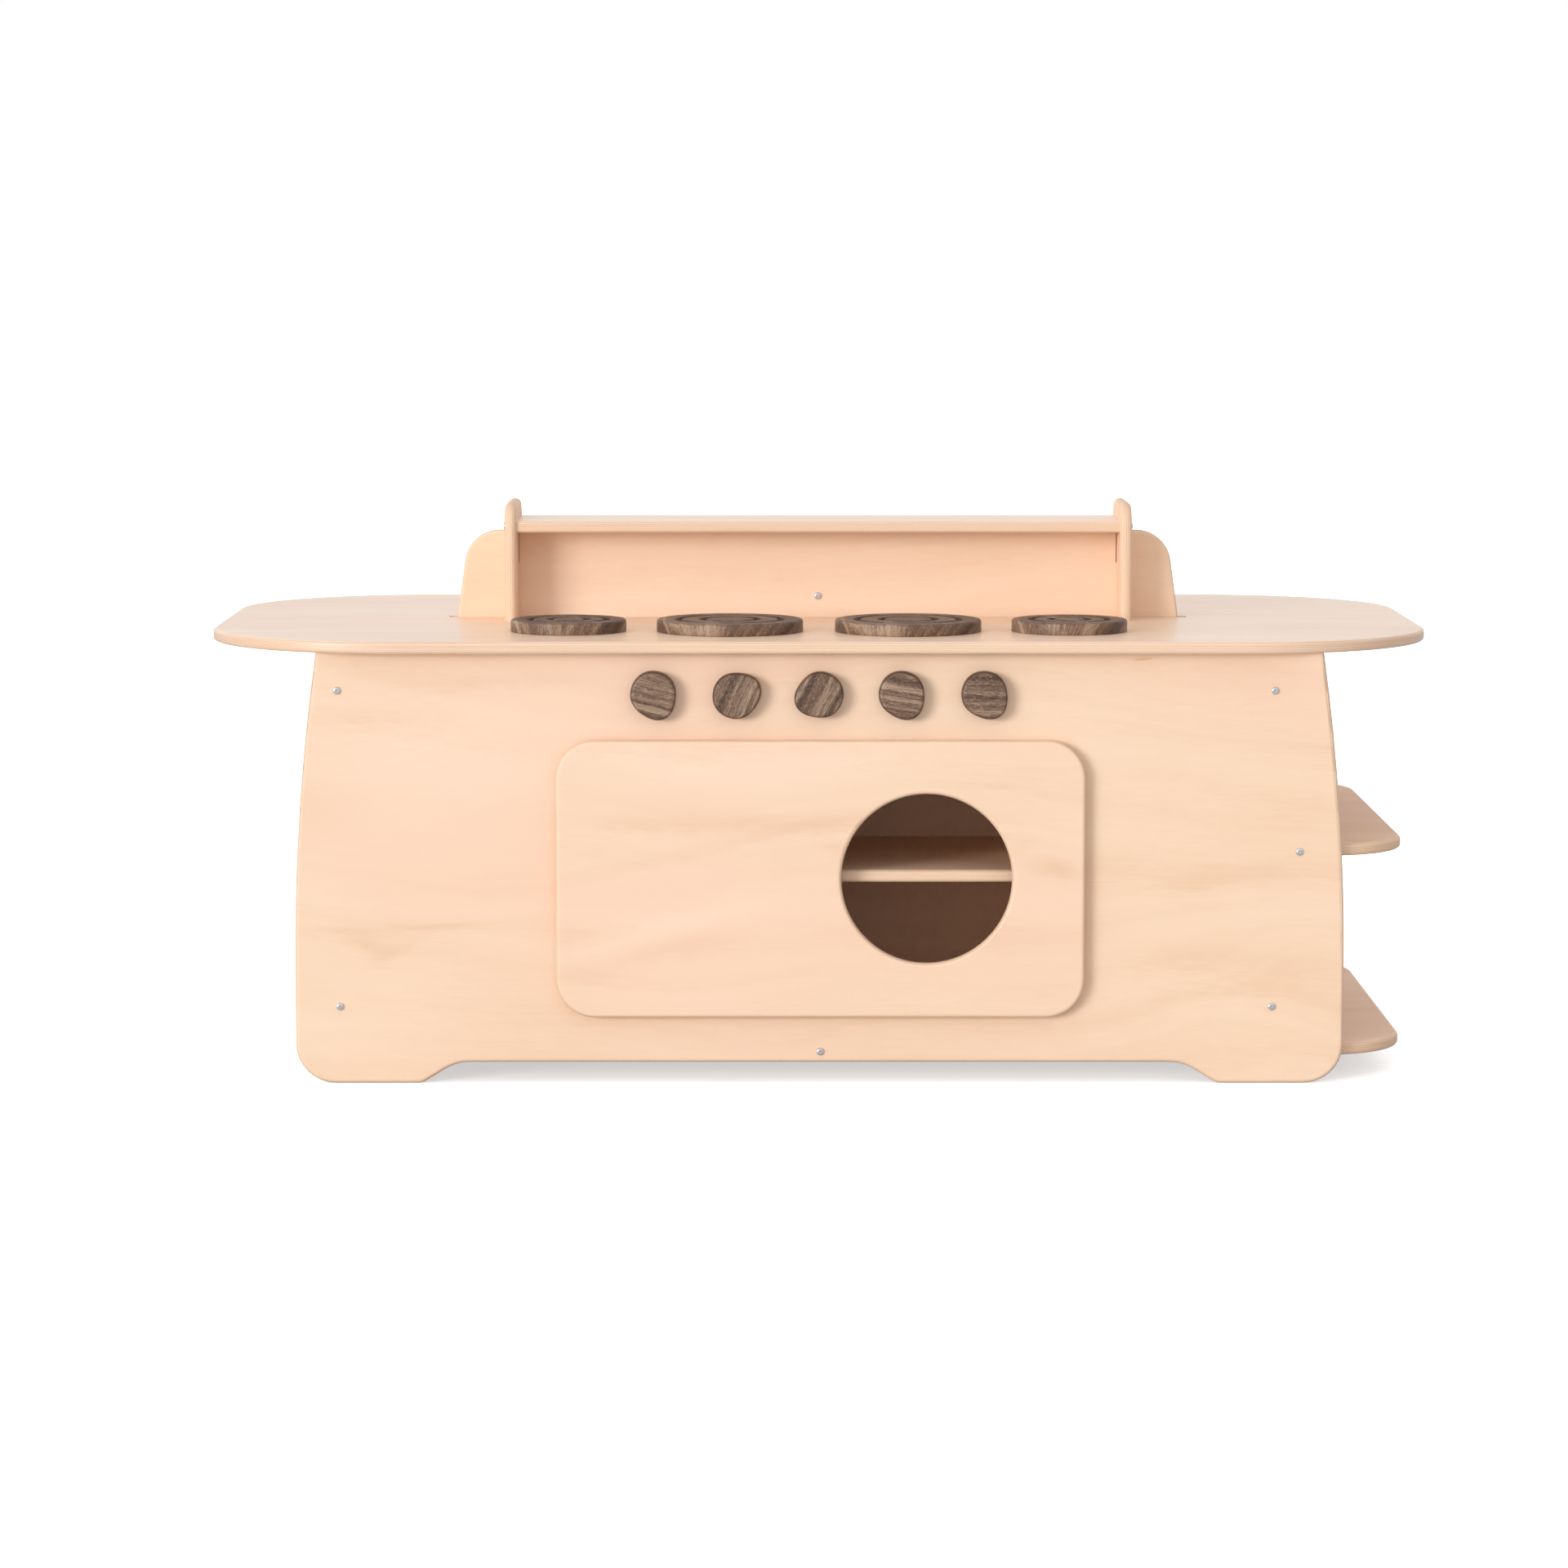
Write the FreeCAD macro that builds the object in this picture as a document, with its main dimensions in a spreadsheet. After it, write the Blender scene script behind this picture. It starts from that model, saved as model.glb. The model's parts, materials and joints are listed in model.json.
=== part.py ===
"""Double-sided plywood toy kitchen: a low island with a hob, an oven and end shelves.

Frame: origin at the bottom centre of the bounding box, +X to the right of the
oven side, +Y from the oven side to the back, +Z up.  Millimetres.
"""
import FreeCAD, Part
import math
import os
import Sketcher
from FreeCAD import Placement, Rotation, Vector

os.makedirs("parts", exist_ok=True)
doc = FreeCAD.newDocument("ToyKitchen")

DIMENSIONS = {
    # boards
    "ply": 15.0,
    "edge_round": 5.0,
    # counter
    "counter_half_length": 762.0,
    "counter_half_depth": 388.0,
    "counter_corner": 240.0,
    "counter_height": 546.5,
    "counter_round": 4.5,
    "slot_half_length": 476.0,
    "slot_play": 0.5,
    # front and rear panels
    "panel_face": 363.0,
    "panel_half_top": 614.5,
    "panel_half_foot": 643.5,
    "panel_bulge_height": 140.0,
    "foot_corner": 48.5,
    "foot_inner": 488.4,
    "foot_blend": 16.0,
    "arch_half": 446.4,
    "arch_height": 26.0,
    "arch_blend": 60.0,
    # end panels, floor board and end shelves
    "left_end_x": 588.5,
    "right_end_x": 555.0,
    "floor_top": 47.0,
    "end_shelf_z": 287.0,
    "shelf_reach": 724.7,
    "shelf_corner": 104.0,
    # centre spine
    "spine_top": 659.0,
    "spine_half_low": 467.0,
    "spine_half_top": 449.6,
    "spine_corner": 45.0,
    "spine_round": 4.0,
    "brace_depth": 60.0,
    # uprights and the shelf between them
    "upright_outer": 400.0,
    "upright_half_depth": 75.0,
    "upright_top": 697.0,
    "upright_corner": 28.0,
    "upright_round": 6.5,
    "lap_height": 617.0,
    "lap_play": 1.2,
    "top_shelf_half_depth": 68.0,
    "top_shelf_round": 3.5,
    # oven door
    "door_left": 322.5,
    "door_right": 324.5,
    "door_low": 84.0,
    "door_high": 425.5,
    "door_corner": 48.0,
    "door_gap": 2.0,
    "window_x": 130.8,
    "window_z": 255.4,
    "window_radius": 104.3,
    # oven opening and cavity
    "opening_left": 285.0,
    "opening_right": 290.0,
    "opening_low": 115.0,
    "opening_high": 395.0,
    "opening_corner": 30.0,
    "oven_left": 291.0,
    "oven_right": 296.0,
    "oven_ceiling": 402.0,
    "inner_shelf_low": 247.0,
    "inner_shelf_front": 346.0,
    # rear storage opening
    "rear_opening_half": 430.0,
    "rear_opening_low": 100.0,
    "rear_opening_high": 440.0,
    "rear_opening_corner": 50.0,
    # cleats under the counter
    "cleat": 20.0,
    # hinges
    "hinge_low_z": 137.0,
    "hinge_high_z": 323.0,
    "hinge_length": 50.0,
    "hinge_knuckle": 16.0,
    "hinge_slit": 0.1,
    "barrel_radius": 2.8,
    "barrel_play": 0.3,
    "pin_radius": 1.5,
    "pin_play": 0.05,
    "axis_inset": 2.7,
    "axis_stand_off": 3.2,
    "leaf": 1.0,
    "leaf_width": 18.0,
    # magnet catch
    "catch_x": 307.0,
    "catch_z": 255.0,
    "magnet_radius": 5.0,
    "magnet_depth": 6.0,
    "magnet_stand_off": 0.8,
    "strike_radius": 6.0,
    # knobs
    "knob_middle_x": -0.5,
    "knob_pitch": 100.8,
    "knob_z": 480.4,
    "knob_radius": 28.8,
    "knob_thick": 18.0,
    "knob_round": 5.0,
    "knob_bore_depth": 10.0,
    "spindle_radius": 3.0,
    "spindle_play": 0.06,
    "spindle_tail": 8.0,
    "bush_radius": 5.0,
    "bush_flange": 7.0,
    "bush_flange_thick": 1.0,
    "knob_gap": 0.3,
    "washer_radius": 6.25,
    "washer_thick": 1.2,
    "nut_width": 10.0,
    "nut_thick": 5.0,
    # burners
    "burner_y": 222.0,
    "burner_thick": 15.0,
    "burner_round": 3.5,
    "groove_radius": 4.7,
    "groove_depth": 4.2,
    "groove_lip": 1.5,
    "large_burner_x": 111.0,
    "large_burner_radius": 91.2,
    "large_groove_outer": 64.0,
    "large_groove_inner": 34.0,
    "small_burner_x": 312.0,
    "small_burner_radius": 72.0,
    "small_groove_outer": 47.8,
    "small_groove_inner": 23.4,
    # furniture bolts with cross nuts
    "bolt_radius": 2.5,
    "bolt_hole": 2.75,
    "bolt_length": 45.0,
    "bolt_end_room": 2.0,
    "head_radius": 4.75,
    "head_height": 2.75,
    "head_crown": 2.2,
    "socket_width": 3.0,
    "socket_depth": 1.6,
    "cross_nut_radius": 5.0,
    "cross_nut_length": 12.0,
    "cross_nut_inset": 26.0,
    "panel_bolt_low": 95.5,
    "panel_bolt_high": 485.0,
    "shelf_bolt_x": 587.0,
    "floor_bolt_x": 1.0,
    "spine_bolt_low": 150.0,
    "spine_bolt_high": 430.0,
    "rear_shelf_bolt_near": 100.0,
    "rear_shelf_bolt_far": 250.0,
    "end_shelf_bolt_y": 150.0,
    "top_shelf_bolt_y": 45.0,
    "brace_bolt_z": 574.0,
    # countersunk wood screws
    "screw_radius": 2.0,
    "screw_head": 4.0,
    "screw_length": 30.0,
    "burner_screw_length": 25.0,
    "hinge_screw_radius": 1.5,
    "hinge_screw_head": 2.8,
    "hinge_screw_length": 12.0,
    # where the cabinet's screws are
    "wall_screw_low": 200.0,
    "wall_screw_high": 310.0,
    "oven_screw_front": 300.0,
    "oven_screw_back": 60.0,
    "cleat_screw_inner": 170.0,
    "cleat_screw_outer": 500.0,
    "cleat_screw_shift": 40.0,
}

# tolerances: what counts as flat, as the same place, and how far a cutter overshoots
FLAT = 1e-4
NEAR = 0.5
PARALLEL = 0.999
OVERSHOOT = 1.0


def fill_sheet():
    """Put the driving dimensions in a spreadsheet, one alias each."""
    sheet = doc.addObject("Spreadsheet::Sheet", "Sizes")
    for row, (alias, value) in enumerate(DIMENSIONS.items(), start=1):
        sheet.set("A%d" % row, alias)
        sheet.set("B%d" % row, str(value))
        sheet.setAlias("B%d" % row, alias)
    doc.recompute()
    return sheet


SHEET = fill_sheet()


class Size:
    """A length with its value and the sheet expression that it comes from."""

    def __init__(self, value, text):
        self.value = value
        self.text = text

    def join(self, other, sign, value):
        return Size(value, "(%s %s %s)" % (self.text, sign, other.text))

    def __add__(self, other):
        other = as_size(other)
        return self.join(other, "+", self.value + other.value)

    def __sub__(self, other):
        other = as_size(other)
        return self.join(other, "-", self.value - other.value)

    def __mul__(self, other):
        other = as_size(other)
        return self.join(other, "*", self.value * other.value)

    def __truediv__(self, other):
        other = as_size(other)
        return self.join(other, "/", self.value / other.value)

    def __neg__(self):
        return Size(-self.value, "(0 - %s)" % self.text)


def as_size(number):
    """A plain number as a Size."""
    if isinstance(number, Size):
        return number
    return Size(float(number), repr(float(number)))


def size(alias):
    """The Size of one cell of the sheet."""
    return Size(float(SHEET.get(alias)), "Sizes.%s" % alias)


def bind(item, prop, length):
    """Bind a property of an object to the sheet."""
    item.setExpression(prop, as_size(length).text)


# --- lengths that many sub-parts share -------------------------------------------------
PLY = size("ply")
HALF_PLY = PLY / 2
COUNTER_UNDER = size("counter_height") - PLY
PANEL_FACE = size("panel_face")
PANEL_BACK = PANEL_FACE - PLY
LEFT_END_OUTER = -(size("left_end_x") + HALF_PLY)
LEFT_END_INNER = -(size("left_end_x") - HALF_PLY)
RIGHT_END_INNER = size("right_end_x") - HALF_PLY
RIGHT_END_OUTER = size("right_end_x") + HALF_PLY
FLOOR_TOP = size("floor_top")
UPRIGHT_INNER = size("upright_outer") - PLY
DOOR_BACK = PANEL_FACE + size("door_gap")
INNER_SHELF_Z = size("inner_shelf_low") + HALF_PLY
AXIS_X = size("axis_inset") - size("door_left")
AXIS_Y = -(PANEL_FACE + size("axis_stand_off"))

ALONG_X = Vector(1, 0, 0)
ALONG_Y = Vector(0, 1, 0)
ALONG_Z = Vector(0, 0, 1)

nodes = {}


def keep(label, item):
    """Name a finished sub-part."""
    item.Label = label
    nodes[label] = item
    return item


# --- sketches and pads -----------------------------------------------------------------
def new_body(label):
    return doc.addObject("PartDesign::Body", label)


def new_sketch(body, plane):
    """A sketch on one of the body's own origin planes."""
    sketch = body.newObject("Sketcher::SketchObject", "Profile")
    planes = {feature.Role: feature for feature in body.Origin.OriginFeatures}
    sketch.AttachmentSupport = [(planes[plane], "")]
    sketch.MapMode = "FlatFace"
    return sketch


def pin_vertex(sketch, index, x, y):
    """Hold the first point of a side at a place that the sheet gives."""
    for kind, length in (("DistanceX", x), ("DistanceY", y)):
        length = as_size(length)
        if length.value == 0:
            axis = -2 if kind == "DistanceX" else -1
            sketch.addConstraint(Sketcher.Constraint("PointOnObject", index, 1, axis))
            continue
        datum = Sketcher.Constraint(kind, -1, 1, index, 1, length.value)
        number = sketch.addConstraint(datum)
        sketch.setExpression("Constraints[%d]" % number, length.text)


def arc_between(start, end, radius):
    """An arc that turns anticlockwise from start to end."""
    chord = end - start
    half = chord.Length / 2
    rise = math.sqrt(radius * radius - half * half)
    left = Vector(-chord.y, chord.x, 0).normalize()
    middle = (start + end) / 2
    centre = middle + left * rise
    first = math.atan2(start.y - centre.y, start.x - centre.x)
    last = math.atan2(end.y - centre.y, end.x - centre.x)
    return Part.ArcOfCircle(Part.Circle(centre, Vector(0, 0, 1), radius), first, last)


def closed_outline(sketch, corners):
    """Draw a loop anticlockwise; a corner (x, y, radius) starts an arc, (x, y) a line."""
    count = len(corners)
    places = [Vector(as_size(c[0]).value, as_size(c[1]).value, 0) for c in corners]
    for index, corner in enumerate(corners):
        start = places[index]
        end = places[(index + 1) % count]
        if len(corner) == 3:
            sketch.addGeometry(arc_between(start, end, corner[2].value), False)
        else:
            sketch.addGeometry(Part.LineSegment(start, end), False)
    for index, corner in enumerate(corners):
        following = (index + 1) % count
        sketch.addConstraint(Sketcher.Constraint("Coincident", index, 2, following, 1))
        pin_vertex(sketch, index, corner[0], corner[1])
        if len(corner) == 3:
            datum = Sketcher.Constraint("Radius", index, corner[2].value)
            number = sketch.addConstraint(datum)
            sketch.setExpression("Constraints[%d]" % number, corner[2].text)


def rectangle(left, low, right, high):
    return [(left, low), (right, low), (right, high), (left, high)]


def pad(body, sketch, thickness):
    feature = body.newObject("PartDesign::Pad", "Board")
    feature.Profile = sketch
    bind(feature, "Length", thickness)
    doc.recompute()
    return feature


def pocket_through(body, sketch, thickness):
    """Cut a sketch through the board, the same way as its pad."""
    before = body.Shape.Volume
    feature = body.newObject("PartDesign::Pocket", "Opening")
    feature.Profile = sketch
    bind(feature, "Length", thickness)
    feature.Reversed = True
    doc.recompute()
    if body.Shape.Volume >= before:
        raise RuntimeError("%s: the opening cuts nothing" % body.Label)
    return feature


def round_edges(body, radius, wanted):
    """Fillet the edges that the test picks out."""
    base = body.Tip
    names = []
    for index, edge in enumerate(base.Shape.Edges, start=1):
        if wanted(edge):
            names.append("Edge%d" % index)
    feature = body.newObject("PartDesign::Fillet", "Rounding")
    feature.Base = (base, names)
    bind(feature, "Radius", radius)
    doc.recompute()
    return feature


def runs_through(normal, x=None, y=None, z=None):
    """Test for a straight corner edge along normal, near a place if one is given."""
    def test(edge):
        if edge.Curve.TypeId != "Part::GeomLine":
            return False
        if abs(edge.Curve.Direction.dot(normal)) < PARALLEL:
            return False
        middle = edge.CenterOfMass
        for wanted, found in ((x, middle.x), (y, middle.y), (z, middle.z)):
            if wanted is not None and abs(abs(wanted.value) - abs(found)) > NEAR:
                return False
        return True
    return test


def on_faces(axis, extra=None):
    """Test for an edge that lies in one of the board's two faces across axis."""
    def test(edge):
        box = edge.BoundBox
        flat = {"x": box.XLength, "y": box.YLength, "z": box.ZLength}[axis] < FLAT
        return flat and (extra is None or extra(edge))
    return test


def place(item, x=0, y=0, z=0, rotation=None):
    """Bind an object's place to the sheet."""
    if rotation is not None:
        item.Placement = Placement(Vector(0, 0, 0), rotation)
    bind(item, "Placement.Base.x", x)
    bind(item, "Placement.Base.y", y)
    bind(item, "Placement.Base.z", z)
    return item


def turn_to(direction):
    return Rotation(Vector(0, 0, 1), direction)


# --- primitives and booleans -----------------------------------------------------------
def box(label, x, y, z):
    """A block between two bounds along each axis."""
    item = doc.addObject("Part::Box", label)
    bind(item, "Length", as_size(x[1]) - x[0])
    bind(item, "Width", as_size(y[1]) - y[0])
    bind(item, "Height", as_size(z[1]) - z[0])
    return place(item, x[0], y[0], z[0])


def rod(label, start, direction, radius, length):
    """A cylinder from a point along a direction."""
    item = doc.addObject("Part::Cylinder", label)
    bind(item, "Radius", radius)
    bind(item, "Height", length)
    return place(item, start[0], start[1], start[2], turn_to(direction))


def fuse(label, items):
    if len(items) == 1:
        return items[0]
    item = doc.addObject("Part::MultiFuse", label)
    item.Shapes = items
    return item


def cut(label, base, tools):
    """Take tools away from base."""
    item = doc.addObject("Part::Cut", label)
    item.Base = base
    item.Tool = fuse(label + "_cutters", tools)
    return item


def group_of_solids(label, solids):
    """One sub-part that is several equal solids."""
    item = doc.addObject("Part::Feature", label)
    item.Shape = Part.makeCompound(solids)
    return keep(label, item)


# --- fasteners -------------------------------------------------------------------------
def value(alias):
    return size(alias).value


def hexagon_prism(width, height):
    """A prism of the given width across flats, up from the origin."""
    corner = width / 2 / math.cos(math.pi / 6)
    points = []
    for step in range(7):
        angle = step * math.pi / 3
        points.append(Vector(corner * math.cos(angle), corner * math.sin(angle), 0))
    return Part.Face(Part.makePolygon(points)).extrude(Vector(0, 0, height))


def button_bolt():
    """A button-head bolt: seat at the origin, shank along +Z, head below."""
    head = Part.makeCylinder(value("head_radius"), value("head_height"), Vector(0, 0, 0), -ALONG_Z)
    rim = [edge for edge in head.Edges if edge.BoundBox.ZMax < FLAT - value("head_height")]
    head = head.makeFillet(value("head_crown"), rim)
    shank = Part.makeCylinder(value("bolt_radius"), value("bolt_length"))
    socket = hexagon_prism(value("socket_width"), value("socket_depth"))
    socket.translate(Vector(0, 0, -value("head_height")))
    return head.fuse(shank).removeSplitter().cut(socket)


def cross_nut():
    """A barrel nut centred at the origin: barrel along +X, thread along +Z."""
    length = value("cross_nut_length")
    radius = value("cross_nut_radius")
    barrel = Part.makeCylinder(radius, length, Vector(-length / 2, 0, 0), ALONG_X)
    thread = Part.makeCylinder(value("bolt_radius"), 4 * radius, Vector(0, 0, -2 * radius))
    return barrel.cut(thread)


def wood_screw(radius, head_radius, length):
    """A countersunk screw: head face at the origin, point along +Z."""
    cone_height = head_radius - radius
    tip_height = 2 * radius
    straight = length - cone_height - tip_height
    head = Part.makeCone(head_radius, radius, cone_height)
    shank = Part.makeCylinder(radius, straight, Vector(0, 0, cone_height))
    blunt = radius / 5
    tip = Part.makeCone(radius, blunt, tip_height, Vector(0, 0, cone_height + straight))
    return head.fuse(shank).fuse(tip).removeSplitter()


def aimed(shape, start, direction):
    """A copy with its origin at start and its +Z along direction."""
    copy = shape.copy()
    at = Vector(*[as_size(coordinate).value for coordinate in start])
    copy.Placement = Placement(at, turn_to(direction))
    return copy


class Bolt:
    """A furniture bolt through one board into a cross nut in the edge of another."""

    def __init__(self, seat, direction, nut_from, through, into):
        self.seat = [as_size(coordinate) for coordinate in seat]
        self.direction = direction
        self.nut_from = nut_from
        self.through = through
        self.into = into

    def along(self, distance):
        """A point on the bolt's axis, a distance past its seat."""
        parts = []
        for coordinate, step in zip(self.seat, self.direction):
            parts.append(coordinate + as_size(distance) * step)
        return parts

    def nut_centre(self):
        return self.along(PLY + size("cross_nut_inset"))

    def drill_through(self, label):
        """The clearance hole in the board under the head."""
        return rod(label, self.along(0), self.direction, size("bolt_hole"), PLY)

    def drill_into(self, label):
        """The bolt's hole and the cross nut's hole in the second board."""
        depth = size("bolt_length") - PLY + size("bolt_end_room")
        bore = rod(label, self.along(PLY), self.direction, size("bolt_hole"), depth)
        mouth = []
        for coordinate, step in zip(self.nut_centre(), self.nut_from):
            mouth.append(coordinate - HALF_PLY * step)
        depth = HALF_PLY + size("cross_nut_length") / 2
        radius = size("cross_nut_radius")
        barrel = rod(label + "_nut", mouth, self.nut_from, radius, depth)
        return [bore, barrel]

    def nut(self):
        at = Vector(*[coordinate.value for coordinate in self.nut_centre()])
        turn = Rotation(self.nut_from, Vector(0, 0, 0), self.direction, "ZXY")
        copy = cross_nut()
        copy.Placement = Placement(at, turn)
        return copy


def panel_bolts(side):
    """Six bolts of one long panel; side is -1 at the front and +1 at the rear."""
    inward = Vector(0, -side, 0)
    name = "front_panel" if side < 0 else "rear_panel"
    face = PANEL_FACE * side
    bolts = []
    for height in ("panel_bolt_low", "panel_bolt_high"):
        left = (-size("left_end_x"), face, size(height))
        bolts.append(Bolt(left, inward, -ALONG_X, name, "left_end_panel"))
        right = (size("right_end_x"), face, size(height))
        bolts.append(Bolt(right, inward, ALONG_X, name, "right_end_panel"))
    shelf = (size("shelf_bolt_x"), face, size("end_shelf_z"))
    bolts.append(Bolt(shelf, inward, ALONG_Z, name, "middle_end_shelf"))
    floor = (size("floor_bolt_x"), face, FLOOR_TOP - HALF_PLY)
    bolts.append(Bolt(floor, inward, ALONG_Z, name, "floor_board"))
    return bolts


def end_bolts():
    """Bolts through the end panels into the spine, the rear shelf and the end shelf."""
    ends = (
        (LEFT_END_OUTER, ALONG_X, "left_end_panel"),
        (RIGHT_END_OUTER, -ALONG_X, "right_end_panel"),
    )
    bolts = []
    for face, inward, name in ends:
        for height in ("spine_bolt_low", "spine_bolt_high"):
            bolts.append(Bolt((face, 0, size(height)), inward, -ALONG_Y, name, "centre_spine"))
        for depth in ("rear_shelf_bolt_near", "rear_shelf_bolt_far"):
            seat = (face, size(depth), INNER_SHELF_Z)
            bolts.append(Bolt(seat, inward, ALONG_Z, name, "rear_shelf"))
    for side in (-1, 1):
        seat = (RIGHT_END_INNER, size("end_shelf_bolt_y") * side, size("end_shelf_z"))
        bolts.append(Bolt(seat, ALONG_X, ALONG_Z, "right_end_panel", "middle_end_shelf"))
    return bolts


def upright_bolts():
    """Bolts through the uprights into the ends of the top shelf."""
    bolts = []
    for side, name in ((-1, "left_upright"), (1, "right_upright")):
        for depth in (-1, 1):
            y = size("top_shelf_bolt_y") * depth
            seat = (size("upright_outer") * side, y, size("spine_top") + HALF_PLY)
            bolts.append(Bolt(seat, Vector(-side, 0, 0), ALONG_Z, name, "top_shelf"))
    return bolts


def brace_bolts():
    seat = (0, -HALF_PLY, size("brace_bolt_z"))
    return [Bolt(seat, ALONG_Y, -ALONG_X, "centre_spine", "rear_brace")]


BOLT_GROUPS = {
    "front_panel_bolts": panel_bolts(-1),
    "rear_panel_bolts": panel_bolts(1),
    "end_panel_bolts": end_bolts(),
    "upright_bolts": upright_bolts(),
    "brace_bolt": brace_bolts(),
}


def bolt_holes(board):
    """Every bolt and cross nut hole that one board has."""
    holes = []
    for group, bolts in BOLT_GROUPS.items():
        for index, bolt in enumerate(bolts, start=1):
            label = "%s_hole_in_%s_%d" % (group, board, index)
            if bolt.through == board:
                holes.append(bolt.drill_through(label))
            if bolt.into == board:
                holes.extend(bolt.drill_into(label))
    return holes


def make_bolts():
    master = button_bolt()
    for label, bolts in BOLT_GROUPS.items():
        solids = [aimed(master, bolt.seat, bolt.direction) for bolt in bolts]
        group_of_solids(label, solids)
    every_bolt = [bolt for bolts in BOLT_GROUPS.values() for bolt in bolts]
    group_of_solids("cross_nuts", [bolt.nut() for bolt in every_bolt])


def cabinet_screw_places():
    """(start, direction) of the equal countersunk screws inside the cabinet."""
    places = []
    wall_middle = (-(size("oven_left") + HALF_PLY), size("oven_right") + HALF_PLY)
    along_oven = (-size("oven_screw_front"), -size("oven_screw_back"))
    for x in wall_middle:
        for height in ("wall_screw_low", "wall_screw_high"):
            places.append(((x, -PANEL_FACE, size(height)), ALONG_Y))
        for y in along_oven:
            places.append(((x, y, size("oven_ceiling") + PLY), -ALONG_Z))
    for y in along_oven:
        places.append(((-(size("oven_left") + PLY), y, INNER_SHELF_Z), ALONG_X))
        places.append(((size("oven_right") + PLY, y, INNER_SHELF_Z), -ALONG_X))
    inner_x = size("cleat_screw_inner")
    outer_x = size("cleat_screw_outer")
    for side in (-1, 1):
        middle = (PANEL_BACK - size("cleat") / 2) * side
        inner = (PANEL_BACK - size("cleat")) * side
        for x in (-outer_x, -inner_x, inner_x, outer_x):
            places.append(((x, middle, COUNTER_UNDER - size("cleat")), ALONG_Z))
            height = COUNTER_UNDER - size("cleat") / 2
            beside = x - size("cleat_screw_shift")
            places.append(((beside, inner, height), Vector(0, side, 0)))
    return places


def make_wood_screws():
    """Countersunk screws; the boards are cut with the same solids."""
    master = wood_screw(value("screw_radius"), value("screw_head"), value("screw_length"))
    solids = [aimed(master, start, direction) for start, direction in cabinet_screw_places()]
    cabinet = group_of_solids("cabinet_screws", solids)
    length = value("burner_screw_length")
    master = wood_screw(value("screw_radius"), value("screw_head"), length)
    solids = []
    for x, _, _ in BURNERS:
        solids.append(aimed(master, (x, -size("burner_y"), COUNTER_UNDER), ALONG_Z))
    burner = group_of_solids("burner_screws", solids)
    return cabinet, burner


SMALL_GROOVES = (size("small_groove_inner"), size("small_groove_outer"))
LARGE_GROOVES = (size("large_groove_inner"), size("large_groove_outer"))
# each burner's X, radius and ring grooves, from left to right
BURNERS = (
    (-size("small_burner_x"), size("small_burner_radius"), SMALL_GROOVES),
    (-size("large_burner_x"), size("large_burner_radius"), LARGE_GROOVES),
    (size("large_burner_x"), size("large_burner_radius"), LARGE_GROOVES),
    (size("small_burner_x"), size("small_burner_radius"), SMALL_GROOVES),
)


# --- boards ----------------------------------------------------------------------------
def finish_board(label, blank, more=()):
    """Drill a board and name it."""
    cutters = bolt_holes(label) + list(more)
    if not cutters:
        return keep(label, blank)
    return keep(label, cut(label + "_drilled", blank, cutters))


def make_counter(cabinet_screws, burner_screws):
    body = new_body("counter_blank")
    sketch = new_sketch(body, "XY_Plane")
    length = size("counter_half_length")
    depth = size("counter_half_depth")
    closed_outline(sketch, rectangle(-length, -depth, length, depth))
    pad(body, sketch, PLY)
    round_edges(body, size("counter_corner"), runs_through(ALONG_Z))
    round_edges(body, size("counter_round"), on_faces("z"))
    place(body, 0, 0, COUNTER_UNDER)
    half = HALF_PLY + size("slot_play")
    reach = size("slot_half_length")
    height = (COUNTER_UNDER - OVERSHOOT, COUNTER_UNDER + PLY + OVERSHOOT)
    slot = box("spine_slot", (-reach, reach), (-half, half), height)
    finish_board("counter_top", body, [slot, cabinet_screws, burner_screws])


def panel_outline():
    """Feet, arch and bulging sides of a long panel, anticlockwise in X and Z."""
    foot = size("panel_half_foot")
    top = size("panel_half_top")
    bulge = size("panel_bulge_height")
    step = foot - top
    rise = COUNTER_UNDER - bulge
    radius = (step * step + rise * rise) / (step * 2)
    return [
        (-foot, 0),
        (-size("foot_inner"), 0),
        (-size("arch_half"), size("arch_height")),
        (size("arch_half"), size("arch_height")),
        (size("foot_inner"), 0),
        (foot, 0),
        (foot, bulge, radius),
        (top, COUNTER_UNDER),
        (-top, COUNTER_UNDER, radius),
        (-foot, bulge),
    ]


def below_counter(edge):
    return edge.CenterOfMass.z < COUNTER_UNDER.value - NEAR


def long_panel(label, back, opening, corner, more):
    """A long panel; back is the Y of the face that its pad starts from."""
    body = new_body(label + "_blank")
    sketch = new_sketch(body, "XZ_Plane")
    closed_outline(sketch, panel_outline())
    pad(body, sketch, PLY)
    mouth = new_sketch(body, "XZ_Plane")
    closed_outline(mouth, opening)
    pocket_through(body, mouth, PLY)
    along_depth = runs_through(ALONG_Y)
    levels = (opening[0][1].value, opening[2][1].value)

    def at_opening(edge):
        height = edge.CenterOfMass.z
        return along_depth(edge) and min(abs(height - level) for level in levels) < NEAR

    round_edges(body, corner, at_opening)
    round_edges(body, size("foot_corner"), runs_through(ALONG_Y, x=size("panel_half_foot"), z=as_size(0)))
    round_edges(body, size("foot_blend"), runs_through(ALONG_Y, x=size("foot_inner")))
    round_edges(body, size("arch_blend"), runs_through(ALONG_Y, x=size("arch_half")))
    round_edges(body, size("edge_round"), on_faces("y", below_counter))
    place(body, 0, back, 0)
    finish_board(label, body, more)


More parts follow.
